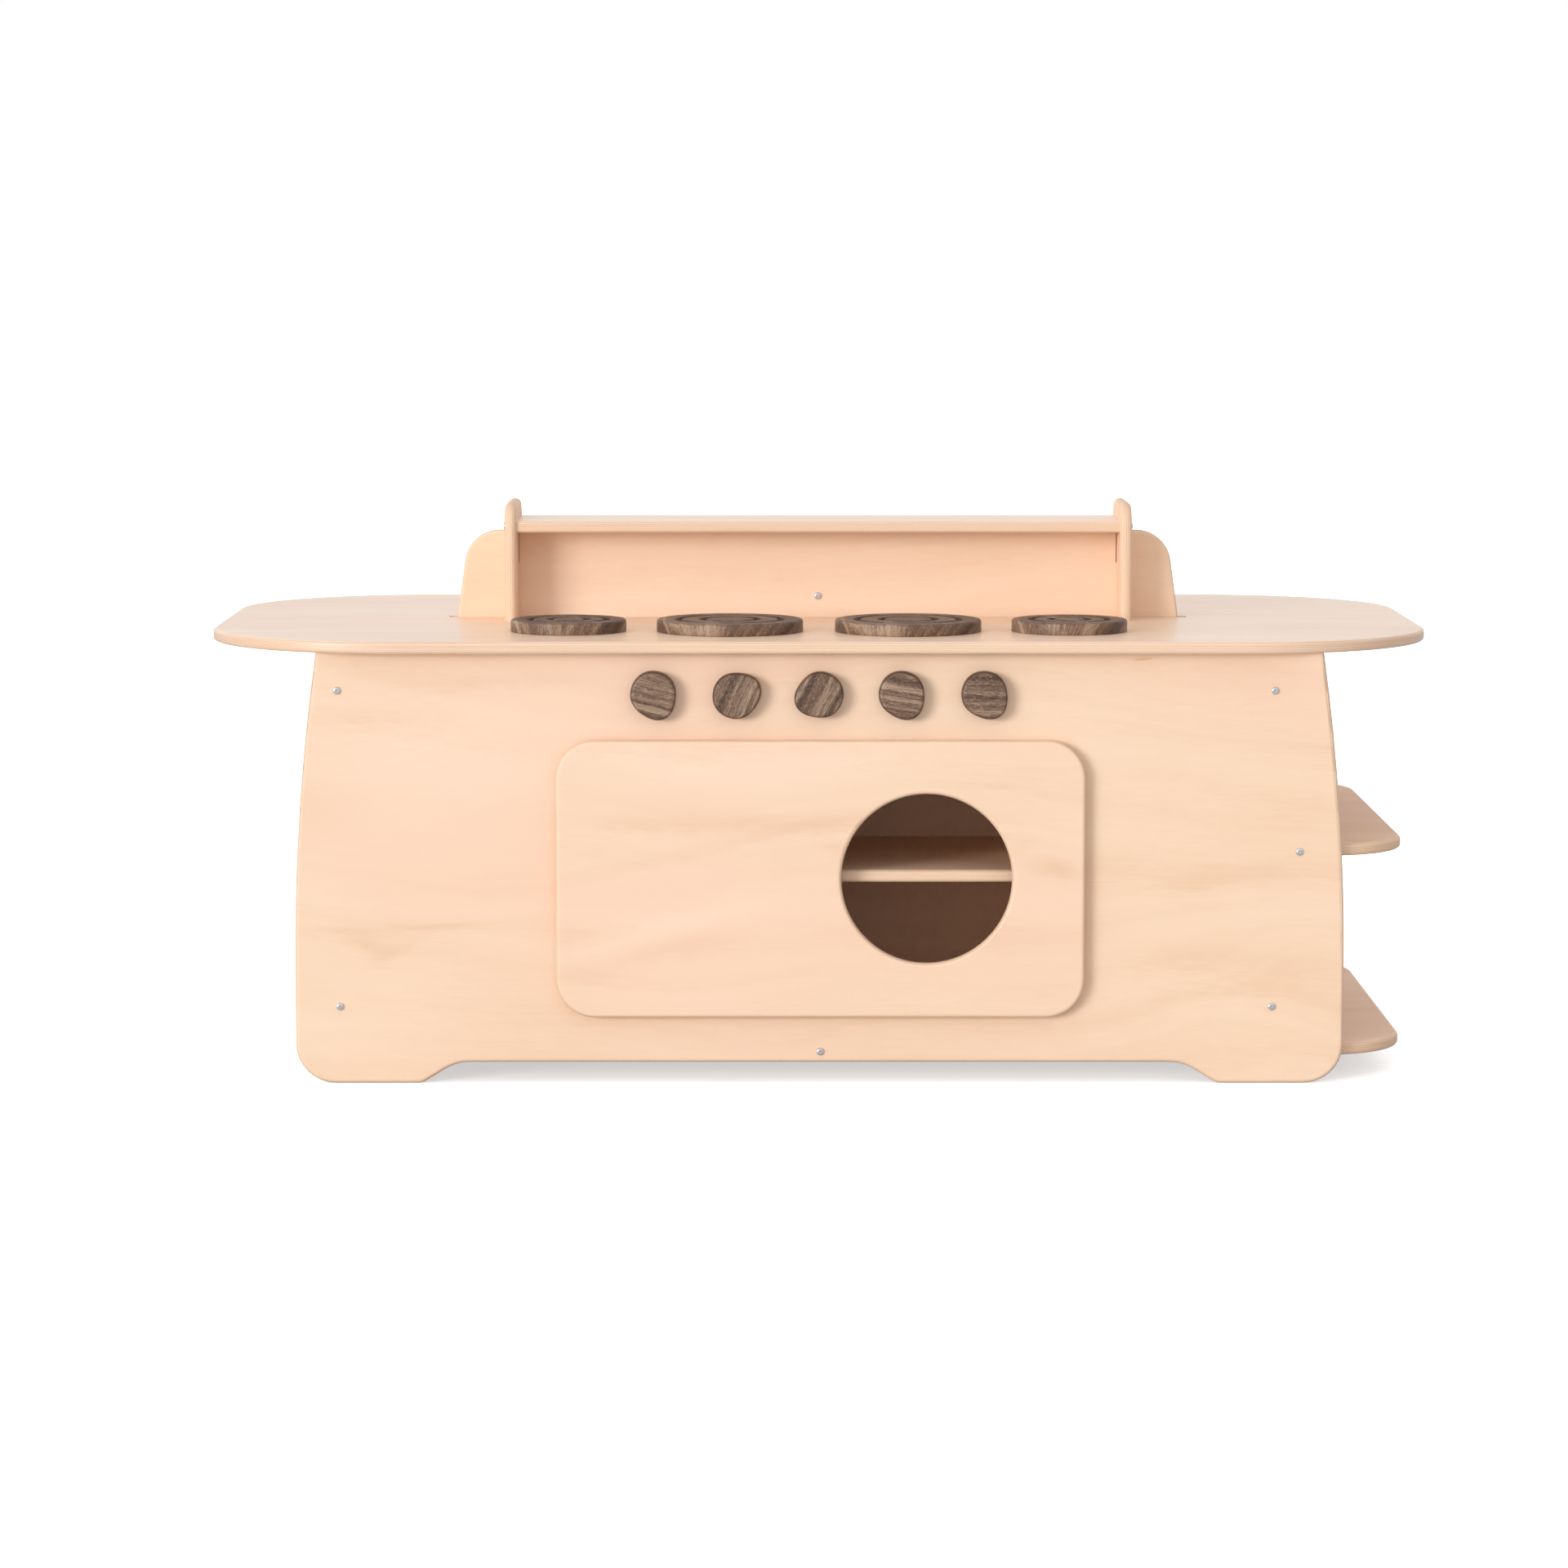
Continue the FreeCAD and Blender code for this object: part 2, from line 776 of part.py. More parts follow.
def make_front_panel(cabinet_screws, hinge_screws):
    opening = rectangle(
        -size("opening_left"), size("opening_low"),
        size("opening_right"), size("opening_high"))
    more = [cabinet_screws, hinge_screws]
    start = (size("catch_x"), -PANEL_FACE, size("catch_z"))
    more.append(rod("magnet_hole", start, ALONG_Y, size("magnet_radius"), size("magnet_depth")))
    for index, x in enumerate(knob_places(), start=1):
        start = (x, -PANEL_FACE, size("knob_z"))
        more.append(rod("bush_hole_%d" % index, start, ALONG_Y, size("bush_radius"), PLY))
    long_panel("front_panel", -PANEL_BACK, opening, size("opening_corner"), more)


def make_rear_panel(cabinet_screws):
    half = size("rear_opening_half")
    opening = rectangle(-half, size("rear_opening_low"), half, size("rear_opening_high"))
    corner = size("rear_opening_corner")
    long_panel("rear_panel", PANEL_FACE, opening, corner, [cabinet_screws])


def plain_board(label, x, y, z, more=()):
    """A board with square edges, hidden inside the cabinet."""
    return finish_board(label, box(label + "_blank", x, y, z), more)


def make_end_panels():
    depth = (-PANEL_BACK, PANEL_BACK)
    height = (FLOOR_TOP, COUNTER_UNDER)
    plain_board("left_end_panel", (LEFT_END_OUTER, LEFT_END_INNER), depth, height)
    plain_board("right_end_panel", (RIGHT_END_INNER, RIGHT_END_OUTER), depth, height)


def shelf_with_round_end(label, left, low):
    """A board whose right end has two large corners and soft edges."""
    body = new_body(label + "_blank")
    sketch = new_sketch(body, "XY_Plane")
    reach = size("shelf_reach")
    closed_outline(sketch, rectangle(left, -PANEL_BACK, reach, PANEL_BACK))
    pad(body, sketch, PLY)
    round_edges(body, size("shelf_corner"), runs_through(ALONG_Z, x=reach))
    straight_end = reach.value - size("shelf_corner").value

    def at_round_end(edge):
        return edge.CenterOfMass.x > straight_end

    round_edges(body, size("edge_round"), on_faces("z", at_round_end))
    place(body, 0, 0, low)
    finish_board(label, body)


def make_spine():
    body = new_body("spine_blank")
    sketch = new_sketch(body, "XZ_Plane")
    low = size("spine_half_low")
    high = size("spine_half_top")
    closed_outline(sketch, [
        (LEFT_END_INNER, FLOOR_TOP),
        (RIGHT_END_INNER, FLOOR_TOP),
        (RIGHT_END_INNER, COUNTER_UNDER),
        (low, COUNTER_UNDER),
        (high, size("spine_top")),
        (-high, size("spine_top")),
        (-low, COUNTER_UNDER),
        (LEFT_END_INNER, COUNTER_UNDER),
    ])
    pad(body, sketch, PLY)
    round_edges(body, size("spine_corner"), runs_through(ALONG_Y, x=high))

    def above_counter(edge):
        return edge.CenterOfMass.z > COUNTER_UNDER.value + NEAR

    round_edges(body, size("spine_round"), on_faces("y", above_counter))
    place(body, 0, HALF_PLY, 0)
    notches = []
    for side in (-1, 1):
        outer = (size("upright_outer") + size("lap_play")) * side
        inner = (UPRIGHT_INNER - size("lap_play")) * side
        span = (outer, inner) if side < 0 else (inner, outer)
        height = (size("lap_height"), size("spine_top") + OVERSHOOT)
        notches.append(box("lap_notch", span, (-PLY, PLY), height))
    finish_board("centre_spine", body, notches)


def make_upright(label, side):
    """An upright with a rounded top, slotted from below to straddle the spine."""
    body = new_body(label + "_blank")
    sketch = new_sketch(body, "YZ_Plane")
    depth = size("upright_half_depth")
    foot = size("counter_height")
    top = size("upright_top")
    closed_outline(sketch, rectangle(-depth, foot, depth, top))
    pad(body, sketch, PLY)
    round_edges(body, size("upright_corner"), runs_through(ALONG_X, z=top))

    def above_foot(edge):
        return edge.CenterOfMass.z > foot.value + NEAR

    round_edges(body, size("upright_round"), on_faces("x", above_foot))
    left = UPRIGHT_INNER if side > 0 else -size("upright_outer")
    place(body, left, 0, 0)
    half = HALF_PLY + size("slot_play") / 2
    width = (left - OVERSHOOT, left + PLY + OVERSHOOT)
    notch = box("lap_slot", width, (-half, half), (foot - OVERSHOOT, size("lap_height")))
    finish_board(label, body, [notch])


def board_with_soft_long_edges(label, x, y, z, radius, more=()):
    """A flat board whose edges along X are rounded."""
    body = new_body(label + "_blank")
    sketch = new_sketch(body, "XY_Plane")
    closed_outline(sketch, rectangle(x[0], y[0], x[1], y[1]))
    pad(body, sketch, PLY)
    round_edges(body, radius, runs_through(ALONG_X))
    place(body, 0, 0, z)
    finish_board(label, body, more)


def make_top_shelf():
    depth = size("top_shelf_half_depth")
    width = (-UPRIGHT_INNER, UPRIGHT_INNER)
    radius = size("top_shelf_round")
    low = size("spine_top")
    board_with_soft_long_edges("top_shelf", width, (-depth, depth), low, radius)


def make_rear_brace():
    depth = (HALF_PLY, HALF_PLY + size("brace_depth"))
    height = (size("counter_height"), size("spine_top"))
    plain_board("rear_brace", (-HALF_PLY, HALF_PLY), depth, height)


def make_oven(cabinet_screws):
    """Side walls, ceiling and shelf of the oven; the centre spine is its back."""
    depth = (-PANEL_BACK, -HALF_PLY)
    height = (FLOOR_TOP, size("oven_ceiling"))
    left = -size("oven_left")
    right = size("oven_right")
    plain_board("oven_left_wall", (left - PLY, left), depth, height, [cabinet_screws])
    plain_board("oven_right_wall", (right, right + PLY), depth, height, [cabinet_screws])
    ceiling = (size("oven_ceiling"), size("oven_ceiling") + PLY)
    plain_board("oven_top_panel", (left - PLY, right + PLY), depth, ceiling, [cabinet_screws])
    board_with_soft_long_edges(
        "oven_shelf", (left, right), (-size("inner_shelf_front"), -HALF_PLY),
        size("inner_shelf_low"), size("edge_round"), [cabinet_screws])


def make_rear_shelf():
    board_with_soft_long_edges(
        "rear_shelf", (LEFT_END_INNER, RIGHT_END_INNER), (HALF_PLY, size("inner_shelf_front")),
        size("inner_shelf_low"), size("edge_round"))


def make_cleats(cabinet_screws):
    for label, side in (("front_counter_cleat", -1), ("rear_counter_cleat", 1)):
        near = (PANEL_BACK - size("cleat")) * side
        far = PANEL_BACK * side
        depth = (far, near) if side < 0 else (near, far)
        height = (COUNTER_UNDER - size("cleat"), COUNTER_UNDER)
        plain_board(label, (LEFT_END_INNER, RIGHT_END_INNER), depth, height, [cabinet_screws])


# --- oven door -------------------------------------------------------------------------
def hinge_zones(low):
    """Height bounds of the lower, middle and upper knuckle of one hinge."""
    knuckle = size("hinge_knuckle")
    slit = size("hinge_slit")
    top = low + size("hinge_length")
    return (
        (low, low + knuckle - slit),
        (low + knuckle + slit, top - knuckle - slit),
        (top - knuckle + slit, top),
    )


def hinge_leaf(label, low, zones, plate_y, screws, bore):
    """A leaf: plate, knuckles, the tongues between them, pin hole and screw holes."""
    start = AXIS_X + size("barrel_radius") + size("barrel_play")
    end = AXIS_X + size("leaf_width")
    pieces = [box(label + "_plate", (start, end), plate_y, (low, low + size("hinge_length")))]
    for index, (bottom, top) in enumerate(zones, start=1):
        pieces.append(box("%s_tongue_%d" % (label, index), (AXIS_X, start), plate_y, (bottom, top)))
        name = "%s_knuckle_%d" % (label, index)
        pieces.append(rod(name, (AXIS_X, AXIS_Y, bottom), ALONG_Z, size("barrel_radius"), top - bottom))
    blank = fuse(label + "_blank", pieces)
    length = size("hinge_length") + OVERSHOOT * 2
    hole = rod(label + "_pin_hole", (AXIS_X, AXIS_Y, low - OVERSHOOT), ALONG_Z, bore, length)
    keep(label, cut(label + "_cut", blank, [hole, screws]))


def hinge_screw_shape():
    length = value("hinge_screw_length")
    return wood_screw(value("hinge_screw_radius"), value("hinge_screw_head"), length)


# a leaf's screws, as shares of its width from the pin and of its length
SCREW_ACROSS = 0.6
FIXED_LEAF_SCREWS = (0.16, 0.84)
DOOR_LEAF_SCREWS = (0.34, 0.66)


def make_hinge_screws():
    """Screws of the fixed leaves, and those of the door leaves and the strike plate."""
    master = hinge_screw_shape()
    middle = AXIS_X + size("leaf_width") * SCREW_ACROSS
    fixed = []
    moving = []
    for low in (size("hinge_low_z"), size("hinge_high_z")):
        for share in FIXED_LEAF_SCREWS:
            z = low + size("hinge_length") * share
            fixed.append(aimed(master, (middle, -(PANEL_FACE + size("leaf")), z), ALONG_Y))
        for share in DOOR_LEAF_SCREWS:
            z = low + size("hinge_length") * share
            seat = (middle, -(DOOR_BACK - size("leaf") + size("hinge_slit")), z)
            moving.append(aimed(master, seat, -ALONG_Y))
    seat = (size("catch_x"), -(DOOR_BACK - size("leaf")), size("catch_z"))
    moving.append(aimed(master, seat, -ALONG_Y))
    return group_of_solids("hinge_panel_screws", fixed), group_of_solids("hinge_door_screws", moving)


def make_hinges(panel_screws, door_screws):
    pin = size("pin_radius")
    for name, low in (("lower", size("hinge_low_z")), ("upper", size("hinge_high_z"))):
        bottom, middle, top = hinge_zones(low)
        fixed_y = (-(PANEL_FACE + size("leaf")), -PANEL_FACE)
        fixed_label = "%s_hinge_fixed_leaf" % name
        hinge_leaf(fixed_label, low, (bottom, top), fixed_y, panel_screws, pin)
        door_y = (-DOOR_BACK, -(DOOR_BACK - size("leaf") + size("hinge_slit")))
        door_label = "%s_hinge_door_leaf" % name
        hinge_leaf(door_label, low, (middle,), door_y, door_screws, pin + size("pin_play"))
        start = (AXIS_X, AXIS_Y, low)
        keep("%s_hinge_pin" % name, rod("pin", start, ALONG_Z, pin, size("hinge_length")))


def make_door(door_screws):
    """An overlay door with a round window and two mortises for the hinge barrels."""
    body = new_body("door_blank")
    sketch = new_sketch(body, "XZ_Plane")
    left = -size("door_left")
    right = size("door_right")
    closed_outline(sketch, rectangle(left, size("door_low"), right, size("door_high")))
    centre = Vector(value("window_x"), value("window_z"), 0)
    window = sketch.addGeometry(Part.Circle(centre, ALONG_Z, value("window_radius")), False)
    datums = (
        (Sketcher.Constraint("DistanceX", -1, 1, window, 3, value("window_x")), "window_x"),
        (Sketcher.Constraint("DistanceY", -1, 1, window, 3, value("window_z")), "window_z"),
        (Sketcher.Constraint("Radius", window, value("window_radius")), "window_radius"),
    )
    for datum, alias in datums:
        number = sketch.addConstraint(datum)
        sketch.setExpression("Constraints[%d]" % number, size(alias).text)
    pad(body, sketch, PLY)
    round_edges(body, size("door_corner"), runs_through(ALONG_Y))
    round_edges(body, size("edge_round"), on_faces("y"))
    place(body, 0, -DOOR_BACK, 0)
    play = size("barrel_play")
    mortises = []
    for low in (size("hinge_low_z"), size("hinge_high_z")):
        across = (left - OVERSHOOT, AXIS_X + size("barrel_radius") + play)
        depth = (AXIS_Y - size("barrel_radius") - play, -DOOR_BACK + OVERSHOOT)
        height = (low - play, low + size("hinge_length") + play)
        mortises.append(box("hinge_mortise", across, depth, height))
    keep("oven_door", cut("door_cut", body, mortises + [door_screws]))


def make_catch(door_screws):
    """A magnet let into the panel and a strike plate on the door."""
    stand_off = size("magnet_stand_off")
    start = (size("catch_x"), -(PANEL_FACE + stand_off), size("catch_z"))
    length = size("magnet_depth") + stand_off
    keep("magnet_catch", rod("magnet", start, ALONG_Y, size("magnet_radius"), length))
    start = (size("catch_x"), -DOOR_BACK, size("catch_z"))
    disc = rod("strike_disc", start, ALONG_Y, size("strike_radius"), size("leaf"))
    keep("strike_plate", cut("strike_cut", disc, [door_screws]))


# --- knobs -----------------------------------------------------------------------------
# where each knob's blunt corner points, in degrees anticlockwise seen from the front
KNOB_TURNS = (-65, 26, 202, -62, -55)
# the outline's waves: how many times each goes round, and how far it swells
PEBBLE_WAVES = ((2, 0.045), (3, 0.030), (4, 0.017))
PEBBLE_POINTS = 18


def knob_places():
    """X of each knob's spindle."""
    return [size("knob_middle_x") + size("knob_pitch") * step for step in range(-2, 3)]


def pebble_blank():
    """A flat pebble with one blunt corner towards +X, along +Z from the origin."""
    radius = value("knob_radius")
    points = []
    for step in range(PEBBLE_POINTS):
        angle = 2 * math.pi * step / PEBBLE_POINTS
        swell = 1 + sum(height * math.cos(wave * angle) for wave, height in PEBBLE_WAVES)
        points.append(Vector(math.cos(angle), math.sin(angle), 0) * (radius * swell))
    curve = Part.BSplineCurve()
    curve.interpolate(points, PeriodicFlag=True)
    face = Part.Face(Part.Wire(curve.toShape()))
    solid = face.extrude(Vector(0, 0, value("knob_thick")))
    rims = [edge for edge in solid.Edges if edge.BoundBox.ZLength < FLAT]
    return solid.makeFillet(value("knob_round"), rims)


def make_knobs():
    """Pebble knobs on spindles that turn in bushes through the front panel."""
    back = value("panel_face") + value("bush_flange_thick") + value("knob_gap")
    spindle_radius = value("spindle_radius")
    bore = Part.makeCylinder(spindle_radius, value("knob_bore_depth"))
    pebble = pebble_blank().cut(bore)
    outward = turn_to(-ALONG_Y)
    behind = value("panel_face") - value("ply") - value("washer_thick") - value("knob_gap")
    length = back + value("knob_bore_depth") - behind + value("spindle_tail")
    spindle = Part.makeCylinder(spindle_radius, length)
    nut = hexagon_prism(value("nut_width"), value("nut_thick"))
    nut = nut.cut(Part.makeCylinder(spindle_radius, value("nut_thick")))
    for index, (x, turn) in enumerate(zip(knob_places(), KNOB_TURNS), start=1):
        knob = doc.addObject("Part::Feature", "knob_%d" % index)
        knob.Shape = pebble
        spin = Rotation(ALONG_Z, turn)
        knob.Placement = Placement(Vector(x.value, -back, value("knob_z")), outward.multiply(spin))
        keep("knob_%d" % index, knob)
        tip = (x, -(back + value("knob_bore_depth")), size("knob_z"))
        nut_at = (x, -behind, size("knob_z"))
        solids = [aimed(spindle, tip, ALONG_Y), aimed(nut, nut_at, ALONG_Y)]
        group_of_solids("knob_spindle_%d" % index, solids)


def make_knob_bearings():
    """Flanged bushes pressed in the panel, and the washers behind it."""
    bore = value("spindle_radius") + value("spindle_play")
    sleeve = Part.makeCylinder(value("bush_radius"), value("ply"))
    flange_thick = value("bush_flange_thick")
    flange = Part.makeCylinder(value("bush_flange"), flange_thick, Vector(0, 0, -flange_thick))
    hole = Part.makeCylinder(bore, 3 * value("ply"), Vector(0, 0, -value("ply")))
    bush = sleeve.fuse(flange).cut(hole)
    washer = Part.makeCylinder(value("washer_radius"), value("washer_thick")).cut(hole)
    bushes = []
    washers = []
    for x in knob_places():
        bushes.append(aimed(bush, (x, -PANEL_FACE, size("knob_z")), ALONG_Y))
        washers.append(aimed(washer, (x, -PANEL_BACK, size("knob_z")), ALONG_Y))
    group_of_solids("knob_bushes", bushes)
    group_of_solids("knob_washers", washers)


# --- burners ---------------------------------------------------------------------------
def make_burner(index, place_x, radius, grooves, screws):
    """A wooden hotplate with two round grooves, its rim and their lips softened."""
    label = "burner_%d" % index
    low = size("counter_height")
    top = low + size("burner_thick")
    groove_middle = top + size("groove_radius") - size("groove_depth")
    disc = rod(label + "_disc", (place_x, -size("burner_y"), low), ALONG_Z, radius, top - low)
    cutters = [screws]
    for groove in grooves:
        ring = doc.addObject("Part::Torus", label + "_groove")
        bind(ring, "Radius1", groove)
        bind(ring, "Radius2", size("groove_radius"))
        cutters.append(place(ring, place_x, -size("burner_y"), groove_middle))
    grooved = cut(label + "_grooved", disc, cutters)
    doc.recompute()
    rounded = doc.addObject("Part::Fillet", label + "_rounded")
    rounded.Base = grooved
    soft = []
    for number, edge in enumerate(grooved.Shape.Edges, start=1):
        if edge.BoundBox.ZMin > top.value - NEAR:
            at_rim = edge.Curve.Radius > radius.value - NEAR
            softness = value("burner_round" if at_rim else "groove_lip")
            soft.append((number, softness, softness))
    rounded.Edges = soft
    keep(label, rounded)


# --- assembly --------------------------------------------------------------------------
def make_everything():
    make_bolts()
    cabinet_screws, burner_screws = make_wood_screws()
    panel_screws, door_screws = make_hinge_screws()
    make_counter(cabinet_screws, burner_screws)
    make_front_panel(cabinet_screws, panel_screws)
    make_rear_panel(cabinet_screws)
    make_end_panels()
    shelf_with_round_end("floor_board", LEFT_END_OUTER, FLOOR_TOP - PLY)
    shelf_with_round_end("middle_end_shelf", RIGHT_END_OUTER, size("end_shelf_z") - HALF_PLY)
    make_spine()
    make_upright("left_upright", -1)
    make_upright("right_upright", 1)
    make_top_shelf()
    make_rear_brace()
    make_oven(cabinet_screws)
    make_rear_shelf()
    make_cleats(cabinet_screws)
    make_hinges(panel_screws, door_screws)
    make_door(door_screws)
    make_catch(door_screws)
    make_knobs()
    make_knob_bearings()
    for index, (x, radius, grooves) in enumerate(BURNERS, start=1):
        make_burner(index, x, radius, grooves, burner_screws)


def check_document():
    """Stop if any object failed or any sub-part has no valid shape."""
    faults = []
    for item in doc.Objects:
        if "Invalid" in item.State or "Error" in item.State:
            faults.append("%s: %s" % (item.Label, item.State))
    for label, item in nodes.items():
        if item.Shape.isNull() or not item.Shape.isValid() or not item.Shape.Solids:
            faults.append("%s: bad shape" % label)
    if faults:
        raise RuntimeError("\n".join(faults))


make_everything()
doc.recompute()
check_document()
for label, item in nodes.items():
    item.Shape.exportStep("parts/%s.step" % label)
print("%d sub-parts" % len(nodes))
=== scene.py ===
import json
import math

import bmesh
import bpy
import numpy as np
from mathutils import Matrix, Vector


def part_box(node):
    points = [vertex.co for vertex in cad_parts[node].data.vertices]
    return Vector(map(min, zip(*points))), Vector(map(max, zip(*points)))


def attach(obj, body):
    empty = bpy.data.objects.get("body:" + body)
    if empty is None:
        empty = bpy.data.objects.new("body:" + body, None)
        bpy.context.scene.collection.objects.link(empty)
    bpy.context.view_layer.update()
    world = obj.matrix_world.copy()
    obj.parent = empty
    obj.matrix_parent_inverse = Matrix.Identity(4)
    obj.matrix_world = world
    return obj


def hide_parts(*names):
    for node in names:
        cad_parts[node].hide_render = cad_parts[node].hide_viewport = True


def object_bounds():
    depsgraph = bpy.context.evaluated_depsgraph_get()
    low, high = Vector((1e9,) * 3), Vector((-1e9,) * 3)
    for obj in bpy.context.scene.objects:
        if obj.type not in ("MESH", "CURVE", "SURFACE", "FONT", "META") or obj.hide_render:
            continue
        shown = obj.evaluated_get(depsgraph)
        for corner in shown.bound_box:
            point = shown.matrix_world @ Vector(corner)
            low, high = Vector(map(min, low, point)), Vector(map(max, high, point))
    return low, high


# The looks of a toy kitchen in birch plywood with walnut knobs and burners. The boards and
# the hardware are the frame's own pieces; the knobs and burners are made here in finer mesh.
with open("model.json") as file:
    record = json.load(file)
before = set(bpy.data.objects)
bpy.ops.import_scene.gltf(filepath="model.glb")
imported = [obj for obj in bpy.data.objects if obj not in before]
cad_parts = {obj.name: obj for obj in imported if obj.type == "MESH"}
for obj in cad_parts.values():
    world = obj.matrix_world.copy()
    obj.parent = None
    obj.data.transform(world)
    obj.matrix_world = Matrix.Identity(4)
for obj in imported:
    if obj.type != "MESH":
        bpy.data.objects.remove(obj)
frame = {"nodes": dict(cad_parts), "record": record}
cad_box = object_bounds()

X, Y, Z = 0, 1, 2
MM = 0.001
PLIES = 11
NODES = frame["nodes"]


def srgb(red, green, blue):
    """A linear colour from 0 to 255 values of a display colour."""
    def linear(value):
        value /= 255
        return value / 12.92 if value < 0.04045 else ((value + 0.055) / 1.055) ** 2.4
    return (linear(red), linear(green), linear(blue), 1.0)


class Graph:
    """The node tree of one material, with short calls for the nodes that it needs."""

    def __init__(self, name):
        self.material = bpy.data.materials.new(name)
        self.material.use_nodes = True
        self.tree = self.material.node_tree
        self.tree.nodes.clear()
        self.shader = self.add("ShaderNodeBsdfPrincipled")
        output = self.add("ShaderNodeOutputMaterial")
        self.tree.links.new(self.shader.outputs[0], output.inputs["Surface"])
        coordinates = self.add("ShaderNodeTexCoord")
        self.position = coordinates.outputs["Object"]
        self.normal = coordinates.outputs["Normal"]

    def add(self, kind, **settings):
        node = self.tree.nodes.new(kind)
        for name, value in settings.items():
            setattr(node, name, value)
        return node

    def feed(self, socket, value):
        if isinstance(value, bpy.types.NodeSocket):
            self.tree.links.new(value, socket)
        else:
            socket.default_value = value

    def fixed(self, **values):
        """Sets the shader's constants, with _ for a space in a socket's name."""
        for name, value in values.items():
            self.shader.inputs[name.replace("_", " ")].default_value = value

    def math(self, operation, *values):
        node = self.add("ShaderNodeMath", operation=operation)
        for socket, value in zip(node.inputs, values):
            self.feed(socket, value)
        return node.outputs[0]

    def total(self, *values):
        """The sum of several values."""
        result = values[0]
        for value in values[1:]:
            result = self.math("ADD", result, value)
        return result

    def scaled(self, value, factor, offset=0.0):
        return self.math("MULTIPLY_ADD", value, factor, offset)

    def square(self, value):
        return self.math("MULTIPLY", value, value)

    def bell(self, value):
        """1 where the value is 0, falling smoothly to 0 as it grows either way."""
        return self.math("EXPONENT", self.scaled(self.square(value), -1.0))

    def radius(self, centre):
        """The distance from an upright axis through the centre."""
        offsets = [self.math("SUBTRACT", self.split(self.position)[axis], centre[axis])
                   for axis in (X, Y)]
        return self.math("SQRT", self.total(*[self.square(offset) for offset in offsets]))

    def split(self, vector):
        node = self.add("ShaderNodeSeparateXYZ")
        self.feed(node.inputs[0], vector)
        return list(node.outputs)

    def join(self, x, y, z):
        node = self.add("ShaderNodeCombineXYZ")
        for socket, value in zip(node.inputs, (x, y, z)):
            self.feed(socket, value)
        return node.outputs[0]

    def noise(self, vector, detail=2.0, roughness=0.5):
        node = self.add("ShaderNodeTexNoise")
        self.feed(node.inputs["Vector"], vector)
        node.inputs["Scale"].default_value = 1.0
        node.inputs["Detail"].default_value = detail
        node.inputs["Roughness"].default_value = roughness
        return node.outputs[0]

    def even_noise(self, repeats, detail):
        """Noise with the same number of repeats in a metre in every direction."""
        parts = [self.scaled(part, repeats) for part in self.split(self.position)]
        return self.noise(self.join(*parts), detail)

    def step(self, value, low, high, to_low=0.0, to_high=1.0):
        """A smooth change from to_low to to_high as value goes from low to high."""
        node = self.add("ShaderNodeMapRange", interpolation_type="SMOOTHSTEP")
        for socket, number in zip(node.inputs, (value, low, high, to_low, to_high)):
            self.feed(socket, number)
        return node.outputs[0]

    def mix(self, factor, first, second):
        node = self.add("ShaderNodeMix", data_type="RGBA", blend_type="MIX")
        for socket, value in ((0, factor), (6, first), (7, second)):
            self.feed(node.inputs[socket], value)
        return node.outputs[2]

    def choose(self, factor, first, second):
        node = self.add("ShaderNodeMix", data_type="FLOAT")
        for socket, value in ((0, factor), (2, first), (3, second)):
            self.feed(node.inputs[socket], value)
        return node.outputs[0]

    def ramp(self, value, *stops):
        """A colour ramp; each stop is (position, colour)."""
        node = self.add("ShaderNodeValToRGB")
        elements = node.color_ramp.elements
        while len(elements) < len(stops):
            elements.new(0.5)
        for element, (place, colour) in zip(elements, stops):
            element.position = place
            element.color = colour
        self.feed(node.inputs[0], value)
        return node.outputs[0]

    def bump(self, height, strength, distance):
        node = self.add("ShaderNodeBump")
        node.inputs["Strength"].default_value = strength
        node.inputs["Distance"].default_value = distance
        self.feed(node.inputs["Height"], height)
        self.feed(self.shader.inputs["Normal"], node.outputs[0])


def wear(obj, graph):
    """Gives an object one material in place of those that it came with."""
    if not obj.material_slots:
        obj.data.materials.append(graph.material)
    for each in obj.material_slots:
        each.material = graph.material


# --- plywood ---------------------------------------------------------------------------
# The noises below are stretched along the grain: their factors are repeats in a metre.
BIRCH = {
    "light": srgb(245, 217, 191),
    "usual": srgb(238, 204, 174),
    "dark": srgb(221, 175, 138),
    "blush": srgb(243, 205, 180),
    "end": srgb(222, 180, 144),
    "glue": srgb(160, 116, 80),
}
BASE_SHADE = 0.40
FIGURE_WEIGHTS = {"bands": 0.95, "cloud": 0.65, "fibre": 0.24, "curl": 0.20}
BLUSH_SHARE, FLECK_SHARE = 0.50, 0.22
# Each pair: on an edge along the face veneer's grain, and on one across it.
END_SHARES, INNER_SEAMS = (0.42, 0.87), (0.12, 0.82)
OUTER_SEAM = 0.85


class Smudge:
    """A paler or darker place in a board's figure; the large paler one on the spine is
    painted light. Its middle is given as shares of the board along and across the grain,
    its radii along and across the grain in metres, and its lean in degrees; a strength above
    0 is darker and one below 0 is paler."""

    def __init__(self, share_along, share_across, long, short, lean, strength):
        self.middle = (share_along, share_across)
        self.long = long
        self.short = short
        self.lean = math.radians(lean)
        self.strength = strength

    def shade(self, graph, along, across, wobble):
        """What it adds to the figure's shade; wobble is a noise that breaks its outline."""
        turn, rise = math.cos(self.lean), math.sin(self.lean)
        ahead = graph.total(graph.scaled(along, turn), graph.scaled(across, rise))
        beside = graph.total(graph.scaled(along, -rise), graph.scaled(across, turn),
                             graph.scaled(wobble, 2.4 * self.short, -1.2 * self.short))
        ahead = graph.scaled(ahead, 1 / self.long)
        beside = graph.scaled(beside, 1 / self.short)
        reach = graph.total(graph.square(ahead), graph.square(beside))
        return graph.scaled(graph.math("EXPONENT", graph.scaled(reach, -1.0)), self.strength)


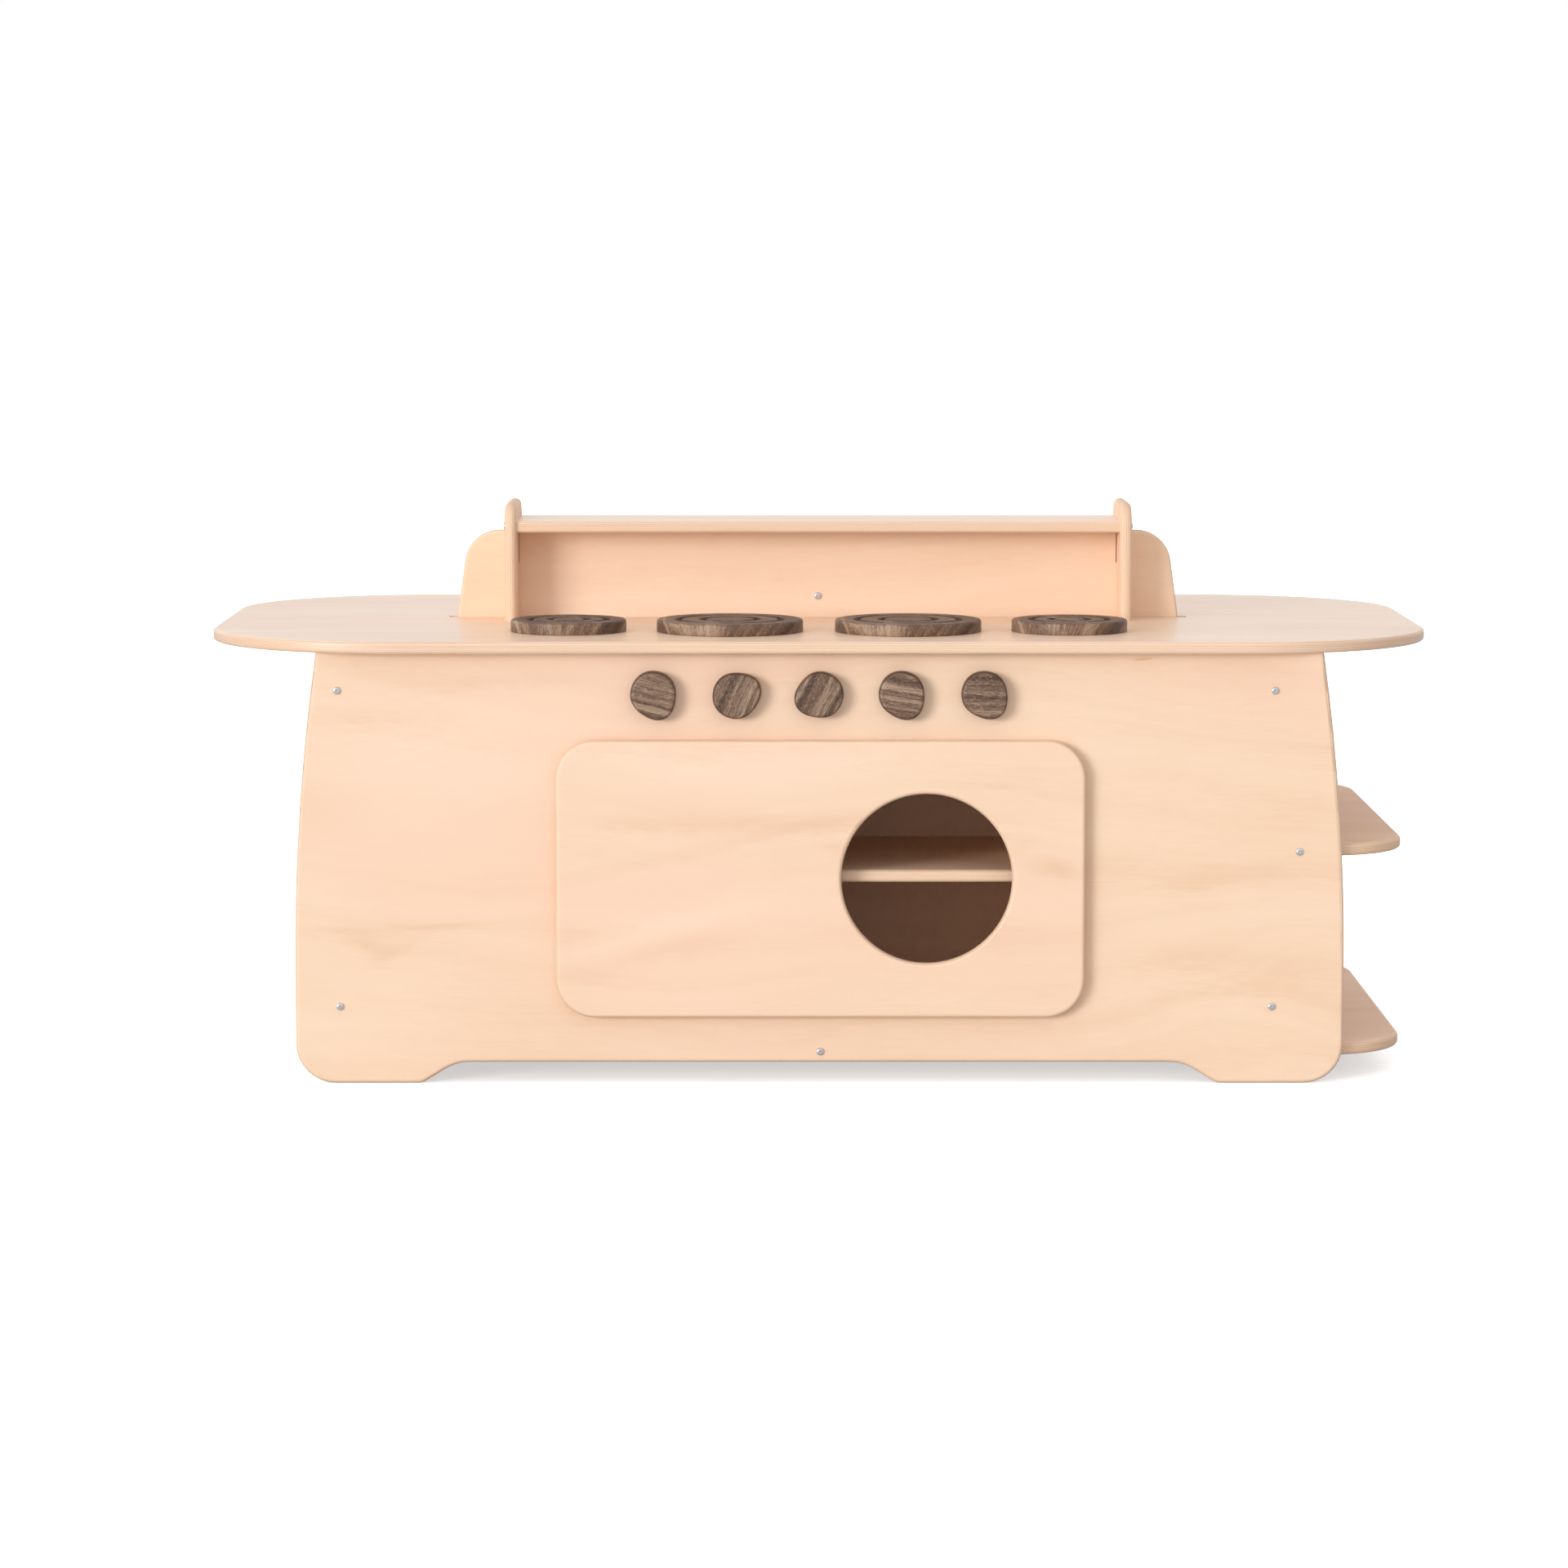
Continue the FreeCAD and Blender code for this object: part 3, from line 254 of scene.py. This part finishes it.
def plywood(name, thick, grain, smudges=(), gloss=0.0):
    """A board's material: its veneer is on the faces across axis thick, with the grain along
    axis grain, and its plies show on every edge."""
    low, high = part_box(name)
    across = 3 - thick - grain
    graph = Graph(name + "_plywood")
    place = graph.split(graph.position)
    facing = graph.split(graph.normal)
    seed = sum(ord(letter) * (index + 3) for index, letter in enumerate(name)) % 97

    # Slightly squeezed, so that neither face falls on a ply's limit.
    depth = graph.scaled(graph.math("SUBTRACT", place[thick], low[thick]), 0.998, 0.01 * MM)
    layer = graph.scaled(depth, PLIES / (high[thick] - low[thick]))
    number = graph.math("FLOOR", layer)
    odd = graph.math("MODULO", number, 2.0)
    along = graph.choose(odd, place[grain], place[across])
    beside = graph.choose(odd, place[across], place[grain])
    own = graph.scaled(number, 3.7, seed)

    # The figure: long wavy bands, clouds, fine fibres and the smudges.
    lift = graph.noise(graph.join(graph.scaled(along, 1.3), graph.scaled(beside, 3.2), own), 2.0)
    wavy = graph.total(graph.scaled(beside, 15.0), graph.scaled(lift, 5.0))
    bands = graph.noise(graph.join(graph.scaled(along, 0.35), wavy, own), 4.0, 0.58)
    cloud = graph.noise(graph.join(graph.scaled(along, 2.3), graph.scaled(beside, 5.0),
                                   graph.scaled(own, 1.0, 11.0)), 3.0, 0.55)
    fibre = graph.noise(graph.join(graph.scaled(along, 16.0), graph.scaled(beside, 620.0),
                                   graph.scaled(depth, 620.0, seed)), 3.0, 0.6)
    curl = graph.noise(graph.join(graph.scaled(along, 34.0), graph.scaled(beside, 150.0),
                                  own), 2.0, 0.6)
    fleck = graph.noise(graph.join(graph.scaled(along, 60.0), graph.scaled(beside, 1500.0),
                                   graph.scaled(depth, 900.0, seed)), 1.0)
    shades = [BASE_SHADE]
    for noise, weight in zip((bands, cloud, fibre, curl), FIGURE_WEIGHTS.values()):
        shades.append(graph.scaled(noise, weight, -0.5 * weight))
    wobble = graph.total(graph.scaled(bands, 0.5), graph.scaled(curl, 0.5))
    for smudge in smudges:
        middle = [low[axis] + share * (high[axis] - low[axis])
                  for axis, share in zip((grain, across), smudge.middle)]
        shades.append(smudge.shade(graph, graph.math("SUBTRACT", place[grain], middle[0]),
                                   graph.math("SUBTRACT", place[across], middle[1]), wobble))
    veneer = graph.ramp(graph.total(*shades), (0.0, BIRCH["light"]), (0.45, BIRCH["usual"]),
                        (1.0, BIRCH["dark"]))
    veneer = graph.mix(graph.step(lift, 0.42, 0.66, 0.0, BLUSH_SHARE), veneer, BIRCH["blush"])
    veneer = graph.mix(graph.step(fleck, 0.70, 0.82, 0.0, FLECK_SHARE), veneer, BIRCH["dark"])

    # The edge: end grain and long grain by turns, with a glue line between the plies.
    face = graph.math("ABSOLUTE", facing[thick])
    cut = graph.math("ABSOLUTE", facing[grain])
    end = graph.choose(odd, cut, graph.math("ABSOLUTE", facing[across]))

    def rising(pair):
        return graph.scaled(cut, pair[1] - pair[0], pair[0])
    pores = graph.noise(graph.join(graph.scaled(place[grain], 1100.0),
                                   graph.scaled(place[across], 1100.0),
                                   graph.scaled(depth, 900.0)), 2.0)
    end_colour = graph.mix(graph.step(pores, 0.45, 0.75, 0.0, 0.6), BIRCH["end"], BIRCH["glue"])
    share = graph.math("MULTIPLY", graph.square(end), rising(END_SHARES))
    colour = graph.mix(share, veneer, end_colour)
    bare = graph.math("SUBTRACT", 1.0, graph.step(face, 0.90, 0.999))
    seam = graph.math("ABSOLUTE", graph.math("SUBTRACT", graph.math("FRACT", layer), 0.5))
    from_middle = graph.math("ABSOLUTE", graph.scaled(layer, 1.0, -0.5 * PLIES))
    seam_strength = graph.step(from_middle, 0.5 * PLIES - 1.6, 0.5 * PLIES - 1.4,
                               rising(INNER_SEAMS), OUTER_SEAM)
    glue = graph.math("MULTIPLY", graph.step(seam, 0.38, 0.47), bare)
    colour = graph.mix(graph.math("MULTIPLY", glue, seam_strength), colour, BIRCH["glue"])
    graph.feed(graph.shader.inputs["Base Color"], colour)

    graph.feed(graph.shader.inputs["Roughness"],
               graph.step(graph.total(fibre, graph.scaled(cloud, 0.5)), 0.3, 1.1,
                          0.44 - 0.12 * gloss, 0.60 - 0.16 * gloss))
    graph.fixed(Specular_IOR_Level=0.35 + 0.25 * gloss, Coat_Weight=0.6 * gloss,
                Coat_Roughness=0.24)
    graph.bump(graph.total(graph.scaled(fibre, 0.7), graph.scaled(fleck, -0.4),
                           graph.scaled(glue, -0.8)), 0.10, 0.4 * MM)
    return graph


def clad(names, thick, grain, smudges=(), gloss=0.0):
    """Gives each of the named boards its own plywood."""
    for name in names:
        wear(NODES[name], plywood(name, thick, grain, smudges, gloss))


# A pale field, a swirl over a darker band, thin darker streaks at the top left, darker
# clouds at the right and a pin knot.
clad(["front_panel"], Y, X, [
    Smudge(0.125, 0.69, 0.14, 0.080, 0, -0.30),
    Smudge(0.068, 0.330, 0.036, 0.014, -26, 0.15),
    Smudge(0.093, 0.305, 0.034, 0.010, 28, 0.14),
    Smudge(0.090, 0.360, 0.120, 0.008, 1, 0.12),
    Smudge(0.142, 0.368, 0.060, 0.003, 4, 0.18),
    Smudge(0.071, 0.847, 0.070, 0.012, -2, 0.16),
    Smudge(0.199, 0.934, 0.100, 0.010, 2, 0.20),
    Smudge(0.880, 0.28, 0.110, 0.030, -4, 0.20),
    Smudge(0.870, 0.47, 0.060, 0.010, 2, 0.14),
    Smudge(0.806, 0.985, 0.010, 0.0014, 4, 0.9),
])
clad(["rear_panel"], Y, X, [Smudge(0.83, 0.40, 0.12, 0.03, 8, 0.3),
                            Smudge(0.25, 0.86, 0.16, 0.02, -3, 0.2)])
# A pale band over a darker line, a hump of cathedral grain with a pale streak below it, and
# a small dark mark beside the window.
clad(["oven_door"], Y, X, [
    Smudge(0.31, 0.880, 0.220, 0.030, 0, -0.26),
    Smudge(0.34, 0.700, 0.200, 0.012, 1, 0.24),
    Smudge(0.30, 0.615, 0.170, 0.009, 12, 0.20),
    Smudge(0.60, 0.560, 0.070, 0.010, -24, 0.16),
    Smudge(0.17, 0.305, 0.110, 0.011, 17, -0.34),
    Smudge(0.22, 0.250, 0.130, 0.014, 17, 0.14),
    Smudge(0.945, 0.540, 0.026, 0.012, -8, 0.34),
    Smudge(0.26, 0.935, 0.040, 0.010, 0, 0.16),
])
# A large paler place over the spine: painted light that lifts the shade between the uprights and
# under the top shelf.
clad(["centre_spine"], Y, X, [Smudge(0.50, 0.70, 0.60, 0.50, 0, -0.22)])
clad(["counter_top", "top_shelf"], Z, X, gloss=0.65)
clad(["floor_board", "middle_end_shelf", "oven_shelf", "rear_shelf", "oven_top_panel"], Z, X)
clad(["left_end_panel", "right_end_panel", "oven_left_wall", "oven_right_wall"], X, Y)
clad(["left_upright", "right_upright", "rear_brace"], X, Z)


# --- solid timber ----------------------------------------------------------------------
# The third and fourth shares are of painted shade, on a knob's rounded edge and in a hotplate's
# grooves.
SILVER_SHARE, PORE_SHARE, RIM_SHADE_SHARE, GROOVE_SHADE_SHARE = 0.45, 0.50, 0.72, 0.92
TOP_DARKENING = 0.30


def timber(name, grain, across, seed, tones, bands=55.0, centre=(0, 0, 0), stripes=(),
           fan=None, rim=None, grooved=None):
    """Solid wood with its grain along one local direction. bands is the number of growth
    bands in a metre. Each stripe is (its place across the grain from the centre, its half
    width, its strength), darker above 0. A fan is (apex, spread): the grain leans away
    from x = apex as it rises. rim is the axis of a disc whose rounded edge gets
    painted shade, browner where it turns from the axis. grooved is (radius, top) of an
    upright disc whose top is darker and whose grooves get painted shade."""
    graph = Graph(name)
    # u, v and w are the places along the grain and the two ways across it.
    ahead, beside = Vector(grain).normalized(), Vector(across).normalized()
    third = ahead.cross(beside)
    place = graph.position
    if fan:
        apex, spread = fan
        x, y, z = graph.split(place)
        widen = graph.scaled(z, -spread, 1.0 + spread * centre[Z])
        place = graph.join(graph.total(graph.math("MULTIPLY", graph.scaled(x, 1.0, -apex), widen),
                                       apex), y, z)

    def component(axis):
        node = graph.add("ShaderNodeVectorMath", operation="DOT_PRODUCT")
        graph.feed(node.inputs[0], place)
        node.inputs[1].default_value = axis
        return graph.math("SUBTRACT", node.outputs["Value"], Vector(centre).dot(axis))

    u, v, w = component(ahead), component(beside), component(third)
    lift = graph.noise(graph.join(graph.scaled(u, 9.0), graph.scaled(v, 14.0),
                                  graph.scaled(w, 14.0, seed)), 2.0)
    level = graph.total(graph.scaled(v, bands), graph.scaled(w, bands * 0.35),
                        graph.scaled(lift, 2.0))
    band = graph.noise(graph.join(graph.scaled(u, 3.0), level, seed * 1.7), 3.0, 0.6)
    streak = graph.noise(graph.join(graph.scaled(u, 70.0), graph.scaled(v, 700.0),
                                    graph.scaled(w, 700.0, seed)), 2.0, 0.6)
    dash = graph.noise(graph.join(graph.scaled(u, 230.0), graph.scaled(v, 1250.0),
                                  graph.scaled(w, 1250.0, seed)), 1.0, 0.5)
    shades = [graph.scaled(band, -1.5, 0.75), graph.scaled(streak, -1.0, 0.50), 0.5]
    for middle, half, strength in stripes:
        off = graph.total(graph.scaled(v, 1 / half, -middle / half), graph.scaled(lift, 1.2, -0.6),
                          graph.scaled(streak, 0.8, -0.4))
        shades.append(graph.scaled(graph.bell(off), strength))
    if grooved:
        radius, top = grooved
        # The top inside the rounded edge is made darker than the side.
        inside = graph.step(graph.radius(centre), radius, radius - 3.0 * MM)
        shades.append(graph.scaled(inside, TOP_DARKENING))
    colour = graph.ramp(graph.total(*shades), (0.08, tones["light"]), (0.50, tones["usual"]),
                        (0.92, tones["dark"]))
    colour = graph.mix(graph.step(dash, 0.56, 0.68, 0.0, SILVER_SHARE), colour, tones["light"])
    colour = graph.mix(graph.step(dash, 0.43, 0.32, 0.0, PORE_SHARE), colour, tones["pore"])
    # Painted shade on the rounded edge: browner where the surface turns away from the disc's axis.
    if rim is not None:
        face = graph.math("ABSOLUTE", graph.split(graph.normal)[rim])
        colour = graph.mix(graph.step(face, 0.99, 0.60, 0.0, RIM_SHADE_SHARE), colour, tones["rim"])
    if grooved:
        # Painted shade in the grooves: below the top their hollows turn towards the pore colour.
        sunk = graph.step(graph.split(graph.position)[Z], top - 0.2 * MM, top - 1.4 * MM)
        groove_shade = graph.math("MULTIPLY", inside, sunk)
        colour = graph.mix(graph.scaled(groove_shade, GROOVE_SHADE_SHARE), colour, tones["pore"])
    graph.feed(graph.shader.inputs["Base Color"], colour)
    graph.feed(graph.shader.inputs["Roughness"], graph.step(dash, 0.2, 0.8, 0.58, 0.38))
    graph.fixed(Specular_IOR_Level=0.45)
    graph.bump(graph.total(dash, graph.scaled(streak, 0.8)), 0.4, 0.3 * MM)
    return graph


WALNUT = {
    "light": srgb(176, 149, 123),
    "usual": srgb(116, 87, 68),
    "dark": srgb(72, 48, 36),
    "pore": srgb(46, 30, 23),
    # The last colour is painted shade for a knob's rounded edge.
    "rim": srgb(80, 52, 34),
}
PINE = {
    "light": srgb(232, 203, 160),
    "usual": srgb(222, 186, 138),
    "dark": srgb(190, 140, 92),
    "pore": srgb(170, 120, 78),
}
for name in ("front_counter_cleat", "rear_counter_cleat"):
    wear(NODES[name], timber(name + "_pine", (1, 0, 0), (0, 1, 0), 4.0, PINE, bands=260.0))


# --- knobs -----------------------------------------------------------------------------
KNOB_EDGE = 5.0 * MM
KNOB_CROWN = 0.5 * MM
KNOB_SKIRT = 1.2 * MM
KNOB_FACE = 22.0 * MM
KNOB_BORE_LIMIT = 20.0 * MM
KNOB_INSET = 0.05 * MM
KNOB_WAVES = 7
KNOB_AROUND, BURNER_AROUND = 96, 160
ARC_STEPS = 8


def outline(node):
    """The knob's outline as a smooth function of the angle, read from the CAD piece."""
    low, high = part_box(node.name)
    centre = (low + high) / 2
    middle = (high.y - low.y) / 2 - KNOB_EDGE + 1.0 * MM
    points = [v.co for v in node.data.vertices if abs(v.co.y - centre.y) < middle]
    polar = [(math.atan2(p.z - centre.z, p.x - centre.x),
              math.hypot(p.x - centre.x, p.z - centre.z)) for p in points]
    edge = [(angle, radius) for angle, radius in polar if radius > KNOB_BORE_LIMIT]

    def row(angle):
        return [1.0] + [f(n * angle) for n in range(1, KNOB_WAVES) for f in (math.cos, math.sin)]
    solved = np.linalg.lstsq(np.array([row(angle) for angle, _ in edge]),
                             np.array([r for _, r in edge]), rcond=None)[0]
    return centre, lambda angle: float(np.dot(solved, row(angle)))


def lathe(name, rings, around):
    """A closed mesh from rings of points; each ring is a function of the angle."""
    mesh = bmesh.new()
    rows = []
    for ring in rings:
        rows.append([mesh.verts.new(ring(2 * math.pi * step / around))
                     for step in range(around)])
    for first, second in zip(rows, rows[1:]):
        for step in range(around):
            after = (step + 1) % around
            mesh.faces.new((first[step], first[after], second[after], second[step]))
    for row in (rows[0], rows[-1]):
        middle = mesh.verts.new(sum((v.co for v in row), Vector()) / around)
        for step in range(around):
            mesh.faces.new((row[step], row[(step + 1) % around], middle))
    bmesh.ops.recalc_face_normals(mesh, faces=mesh.faces)
    data = bpy.data.meshes.new(name)
    mesh.to_mesh(data)
    mesh.free()
    data.polygons.foreach_set("use_smooth", [True] * len(data.polygons))
    obj = bpy.data.objects.new(name, data)
    bpy.context.scene.collection.objects.link(obj)
    return obj


# Each knob: how its grain leans from +X in degrees, and its stripes in mm and strength.
KNOBS = (
    (-15, [(-16.5, 3.2, -0.42), (-11.0, 1.4, 0.30), (-23.0, 2.0, 0.30), (10.0, 7.0, -0.10)]),
    (66, [(14.0, 6.0, 0.34), (5.0, 2.5, -0.12), (0.5, 1.2, 0.24), (-9.0, 7.0, -0.22)]),
    (60, [(13.0, 5.0, 0.42), (-3.0, 2.0, -0.12), (-10.0, 5.0, -0.16), (-21.0, 3.0, 0.30)]),
    (-10, [(9.5, 4.0, -0.48), (4.0, 1.2, 0.36), (19.0, 4.5, 0.34), (-3.0, 3.5, -0.18),
           (-18.0, 1.6, 0.32)]),
    (-2, [(-2.5, 1.4, 0.32), (12.0, 1.6, 0.26), (22.0, 5.0, 0.32), (5.0, 3.5, -0.10)]),
)


def knob(index, grain, stripes):
    """A walnut pebble with a rounded edge and a slightly crowned face. Its profile is a row
    of (distance in from the outline, place from front to back)."""
    node = NODES["knob_%d" % index]
    low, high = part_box(node.name)
    centre, radius = outline(node)
    front, back = low.y + KNOB_INSET, high.y
    profile = [(KNOB_SKIRT, back), (KNOB_SKIRT / 4, back - KNOB_SKIRT / 4),
               (0.0, back - KNOB_SKIRT), (0.0, (front + KNOB_EDGE + back) / 2)]
    for step in range(ARC_STEPS + 1):
        turn = math.pi / 2 * step / ARC_STEPS
        profile.append((KNOB_EDGE * (1 - math.cos(turn)), front + KNOB_CROWN
                        + (KNOB_EDGE - KNOB_CROWN) * (1 - math.sin(turn))))
    for share in (0.35, 0.55, 0.75, 0.9):
        profile.append((KNOB_EDGE + share * KNOB_FACE,
                        front + KNOB_CROWN * (1 - share ** 0.8)))

    def ring(inset, y):
        return lambda angle: Vector((
            centre.x + (radius(angle) - inset) * math.cos(angle), y,
            centre.z + (radius(angle) - inset) * math.sin(angle)))
    piece = lathe("knob_%d_wood" % index, [ring(*row) for row in profile], KNOB_AROUND)
    lean = math.radians(grain)
    along, across = (math.cos(lean), 0, math.sin(lean)), (-math.sin(lean), 0, math.cos(lean))
    stripes = [(place * MM, half * MM, strength) for place, half, strength in stripes]
    wear(piece, timber("knob_%d_walnut" % index, along, across, index * 5.3, WALNUT,
                       bands=110.0, centre=centre, stripes=stripes, rim=Y))
    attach(piece, "knob_%d" % index)
    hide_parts("knob_%d" % index)


for index, (grain, stripes) in enumerate(KNOBS, start=1):
    knob(index, grain, stripes)


# --- burners ---------------------------------------------------------------------------
GROOVE_WIDTH, GROOVE_DEPTH, GROOVE_LIP, GROOVE_SAG = 4.7 * MM, 4.2 * MM, 1.8 * MM, 0.45 * MM
BURNER_ROUND, BURNER_FOOT, BURNER_MIDDLE, TOP_STEP = 3.2 * MM, 1.0 * MM, 1.0 * MM, 0.6 * MM
SMALL_GROOVES, LARGE_GROOVES = (47.8 * MM, 23.4 * MM), (64.0 * MM, 34.0 * MM)


def burner(index, grooves, seed):
    """A walnut disc with two round grooves turned into its top."""
    node = "burner_%d" % index
    low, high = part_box(node)
    centre = (low + high) / 2
    edge = high.x - centre.x

    def top(r):
        """The height of the top at a distance from the middle."""
        drop = 0.0
        for groove in grooves:
            off = abs(r - groove)
            if off < GROOVE_WIDTH:
                bowl = math.cos(off / GROOVE_WIDTH * math.pi / 2) ** 0.55
                drop = max(drop, GROOVE_DEPTH * bowl + GROOVE_SAG)
            elif off < GROOVE_WIDTH + GROOVE_LIP:
                drop = max(drop, GROOVE_SAG * (1 - (off - GROOVE_WIDTH) / GROOVE_LIP) ** 2)
        if r > edge - BURNER_ROUND:
            x = min(1.0, (r - edge + BURNER_ROUND) / BURNER_ROUND)
            drop = max(drop, BURNER_ROUND * (1 - math.sqrt(max(0.0, 1 - x * x))))
        return high.z - drop

    profile = [(edge - BURNER_FOOT, low.z), (edge - BURNER_FOOT / 4, low.z + BURNER_FOOT / 4),
               (edge, low.z + BURNER_FOOT), (edge, (low.z + high.z) / 2)]
    steps = [edge - BURNER_ROUND * (1 - math.sin(math.pi / 2 * k / ARC_STEPS))
             for k in range(ARC_STEPS, 0, -1)]
    steps += list(np.arange(edge - BURNER_ROUND, BURNER_MIDDLE, -TOP_STEP))
    profile += [(r, top(r)) for r in steps]

    def ring(r, z):
        return lambda angle: Vector((centre.x + r * math.cos(angle),
                                     centre.y + r * math.sin(angle), z))
    piece = lathe(node + "_wood", [ring(*row) for row in profile], BURNER_AROUND)
    # Paler stripes at the left and a broad darker one at the right, the same on every hotplate:
    # grain stripes that are also painted light on the left side and painted shade on the right.
    stripes = [(-0.85 * edge, 2.2 * MM, -0.40), (-0.30 * edge, 9.0 * MM, -0.20),
               (0.08 * edge, 5.0 * MM, -0.12), (0.75 * edge, 14.0 * MM, 0.35)]
    wear(piece, timber(node + "_walnut", (0, 0, 1), (1, 0, 0), seed, WALNUT, bands=70.0,
                       centre=centre, stripes=stripes, fan=(centre.x - 0.4 * edge, 12.0),
                       grooved=(edge, high.z)))
    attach(piece, "cabinet")
    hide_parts(node)


for index, grooves in enumerate((SMALL_GROOVES, LARGE_GROOVES, LARGE_GROOVES, SMALL_GROOVES),
                                start=1):
    burner(index, grooves, 11.0 + 7.0 * (index // 2))


# --- metal and nylon -------------------------------------------------------------------
def shaded(colour, share):
    """A darker copy of a colour."""
    return tuple(part * share for part in colour[:3]) + (1.0,)


def metal(name, colour, roughness):
    """Plated steel with faint clouds and a fine grain."""
    graph = Graph(name)
    grain = graph.even_noise(2400.0, 3.0)
    cloud = graph.even_noise(260.0, 2.0)
    graph.feed(graph.shader.inputs["Base Color"],
               graph.mix(graph.step(cloud, 0.3, 0.7, 0.0, 0.35), colour, shaded(colour, 0.72)))
    graph.feed(graph.shader.inputs["Roughness"],
               graph.step(grain, 0.25, 0.75, roughness * 0.8, roughness * 1.35))
    graph.fixed(Metallic=1.0)
    graph.bump(grain, 0.1, 0.1 * MM)
    return graph


def plastic(name, colour):
    """Moulded plastic with a fine texture."""
    graph = Graph(name)
    grain = graph.even_noise(1500.0, 2.0)
    graph.feed(graph.shader.inputs["Base Color"],
               graph.mix(graph.step(grain, 0.3, 0.7, 0.0, 0.5), colour, shaded(colour, 0.9)))
    graph.feed(graph.shader.inputs["Roughness"], graph.step(grain, 0.25, 0.75, 0.34, 0.46))
    graph.bump(grain, 0.15, 0.2 * MM)
    return graph


FINISHES = {
    "zinc_steel": metal("zinc_plate", (0.72, 0.73, 0.75, 1.0), 0.26),
    "magnet_cup": metal("nickel_plate", (0.62, 0.60, 0.56, 1.0), 0.2),
    "nylon": plastic("natural_nylon", srgb(226, 220, 206)),
}
for part in frame["record"]["subparts"]:
    if part["material_slot"] in FINISHES:
        wear(NODES[part["node"]], FINISHES[part["material_slot"]])


# --- floor, light and camera -----------------------------------------------------------
FLOOR_HALF = 60.0
FLOOR_GAP = 0.2 * MM
FLOOR_NEAR, FLOOR_FAR = 0.9, 2.4
FLOOR_GLOW = 0.55
LIGHT_TINT = (0.985, 1.0, 1.015)
LIGHT_DISTANCE = 5.0
WHITE = (1.0, 1.0, 1.0, 1.0)


def grey(level):
    return (level, level, level, 1.0)


def floor():
    """A pale floor that goes over into the white surroundings away from the object. The
    light that it throws back onto the object is weaker than it looks."""
    graph = Graph("pale_floor")
    cloud = graph.even_noise(3.0, 3.0)
    pale = graph.mix(graph.step(cloud, 0.3, 0.7), grey(0.88), grey(0.92))
    seen = graph.add("ShaderNodeLightPath").outputs["Is Camera Ray"]
    graph.feed(graph.shader.inputs["Base Color"], graph.mix(seen, grey(0.60), pale))
    graph.fixed(Roughness=0.9, Specular_IOR_Level=0.1)
    # To the camera alone the floor glows: painted brightness, weaker near the object so that its
    # shadow shows, and full white far from it.
    glow = graph.step(graph.radius((0.0, 0.0)), FLOOR_NEAR, FLOOR_FAR, FLOOR_GLOW, 1.0)
    graph.feed(graph.shader.inputs["Emission Strength"], graph.math("MULTIPLY", glow, seen))
    graph.fixed(Emission_Color=WHITE)
    mesh = bmesh.new()
    bmesh.ops.create_grid(mesh, x_segments=1, y_segments=1, size=FLOOR_HALF)
    data = bpy.data.meshes.new("floor")
    mesh.to_mesh(data)
    mesh.free()
    obj = bpy.data.objects.new("floor", data)
    obj.location.z = cad_box[0].z - FLOOR_GAP
    bpy.context.scene.collection.objects.link(obj)
    wear(obj, graph)


def key_light(azimuth, elevation, strength, softness):
    """A soft light from far away; azimuth is from the front towards the left, in degrees."""
    data = bpy.data.lights.new("key", "SUN")
    data.energy = strength
    data.angle = math.radians(softness)
    data.color = LIGHT_TINT
    obj = bpy.data.objects.new("key", data)
    turn, rise = math.radians(azimuth), math.radians(elevation)
    place = Vector((-math.sin(turn) * math.cos(rise), -math.cos(turn) * math.cos(rise),
                    math.sin(rise)))
    obj.location = LIGHT_DISTANCE * place
    obj.rotation_euler = place.to_track_quat("Z", "Y").to_euler()
    bpy.context.scene.collection.objects.link(obj)


def surroundings(base, left, sides, ahead, top):
    """White to the camera. As light it has its base strength, and grows towards the left and
    the top, towards both sides, and towards the front and the back."""
    world = bpy.data.worlds.new("studio")
    bpy.context.scene.world = world
    world.use_nodes = True
    tree = world.node_tree
    tree.nodes.clear()

    def node(kind, *inputs, operation=None):
        """A node with its inputs in order; an input is a socket or a constant."""
        made = tree.nodes.new(kind)
        if operation:
            made.operation = operation
        for socket, value in zip(made.inputs, inputs):
            if isinstance(value, bpy.types.NodeSocket):
                tree.links.new(value, socket)
            else:
                socket.default_value = value
        return made.outputs

    def dot(vector, weights):
        return node("ShaderNodeVectorMath", vector, weights, operation="DOT_PRODUCT")["Value"]

    direction = node("ShaderNodeTexCoord")["Generated"]
    squares = node("ShaderNodeVectorMath", direction, direction, operation="MULTIPLY")[0]
    level = node("ShaderNodeMath", dot(squares, (sides, ahead, 0.0)), base, operation="ADD")[0]
    slope = dot(direction, (-left, 0.0, top))
    strength = node("ShaderNodeMath", level, slope, operation="ADD")[0]
    lit = node("ShaderNodeBackground", LIGHT_TINT + (1.0,), strength)[0]
    seen = node("ShaderNodeBackground", WHITE)[0]
    by_camera = node("ShaderNodeLightPath")["Is Camera Ray"]
    node("ShaderNodeOutputWorld", node("ShaderNodeMixShader", by_camera, lit, seen)[0])


floor()
surroundings(base=0.33, left=0.08, sides=0.29, ahead=0.60, top=0.49)
key_light(azimuth=43.0, elevation=7.0, strength=2.00, softness=24.0)

LENS, SENSOR = 110.31, 36.0
CLIP_NEAR, CLIP_FAR = 0.1, 200.0
CAMERA_PLACE = (-0.0436, -6.1923, 1.0419)
CAMERA_PITCH = 6.570
lens = bpy.data.cameras.new("camera")
lens.sensor_width = SENSOR
lens.lens = LENS
lens.clip_start, lens.clip_end = CLIP_NEAR, CLIP_FAR
camera = bpy.data.objects.new("camera", lens)
camera.location = CAMERA_PLACE
camera.rotation_euler = (math.radians(90.0 - CAMERA_PITCH), 0.0, 0.0)
bpy.context.scene.collection.objects.link(camera)
bpy.context.scene.camera = camera
bpy.context.scene.view_settings.view_transform = "Standard"
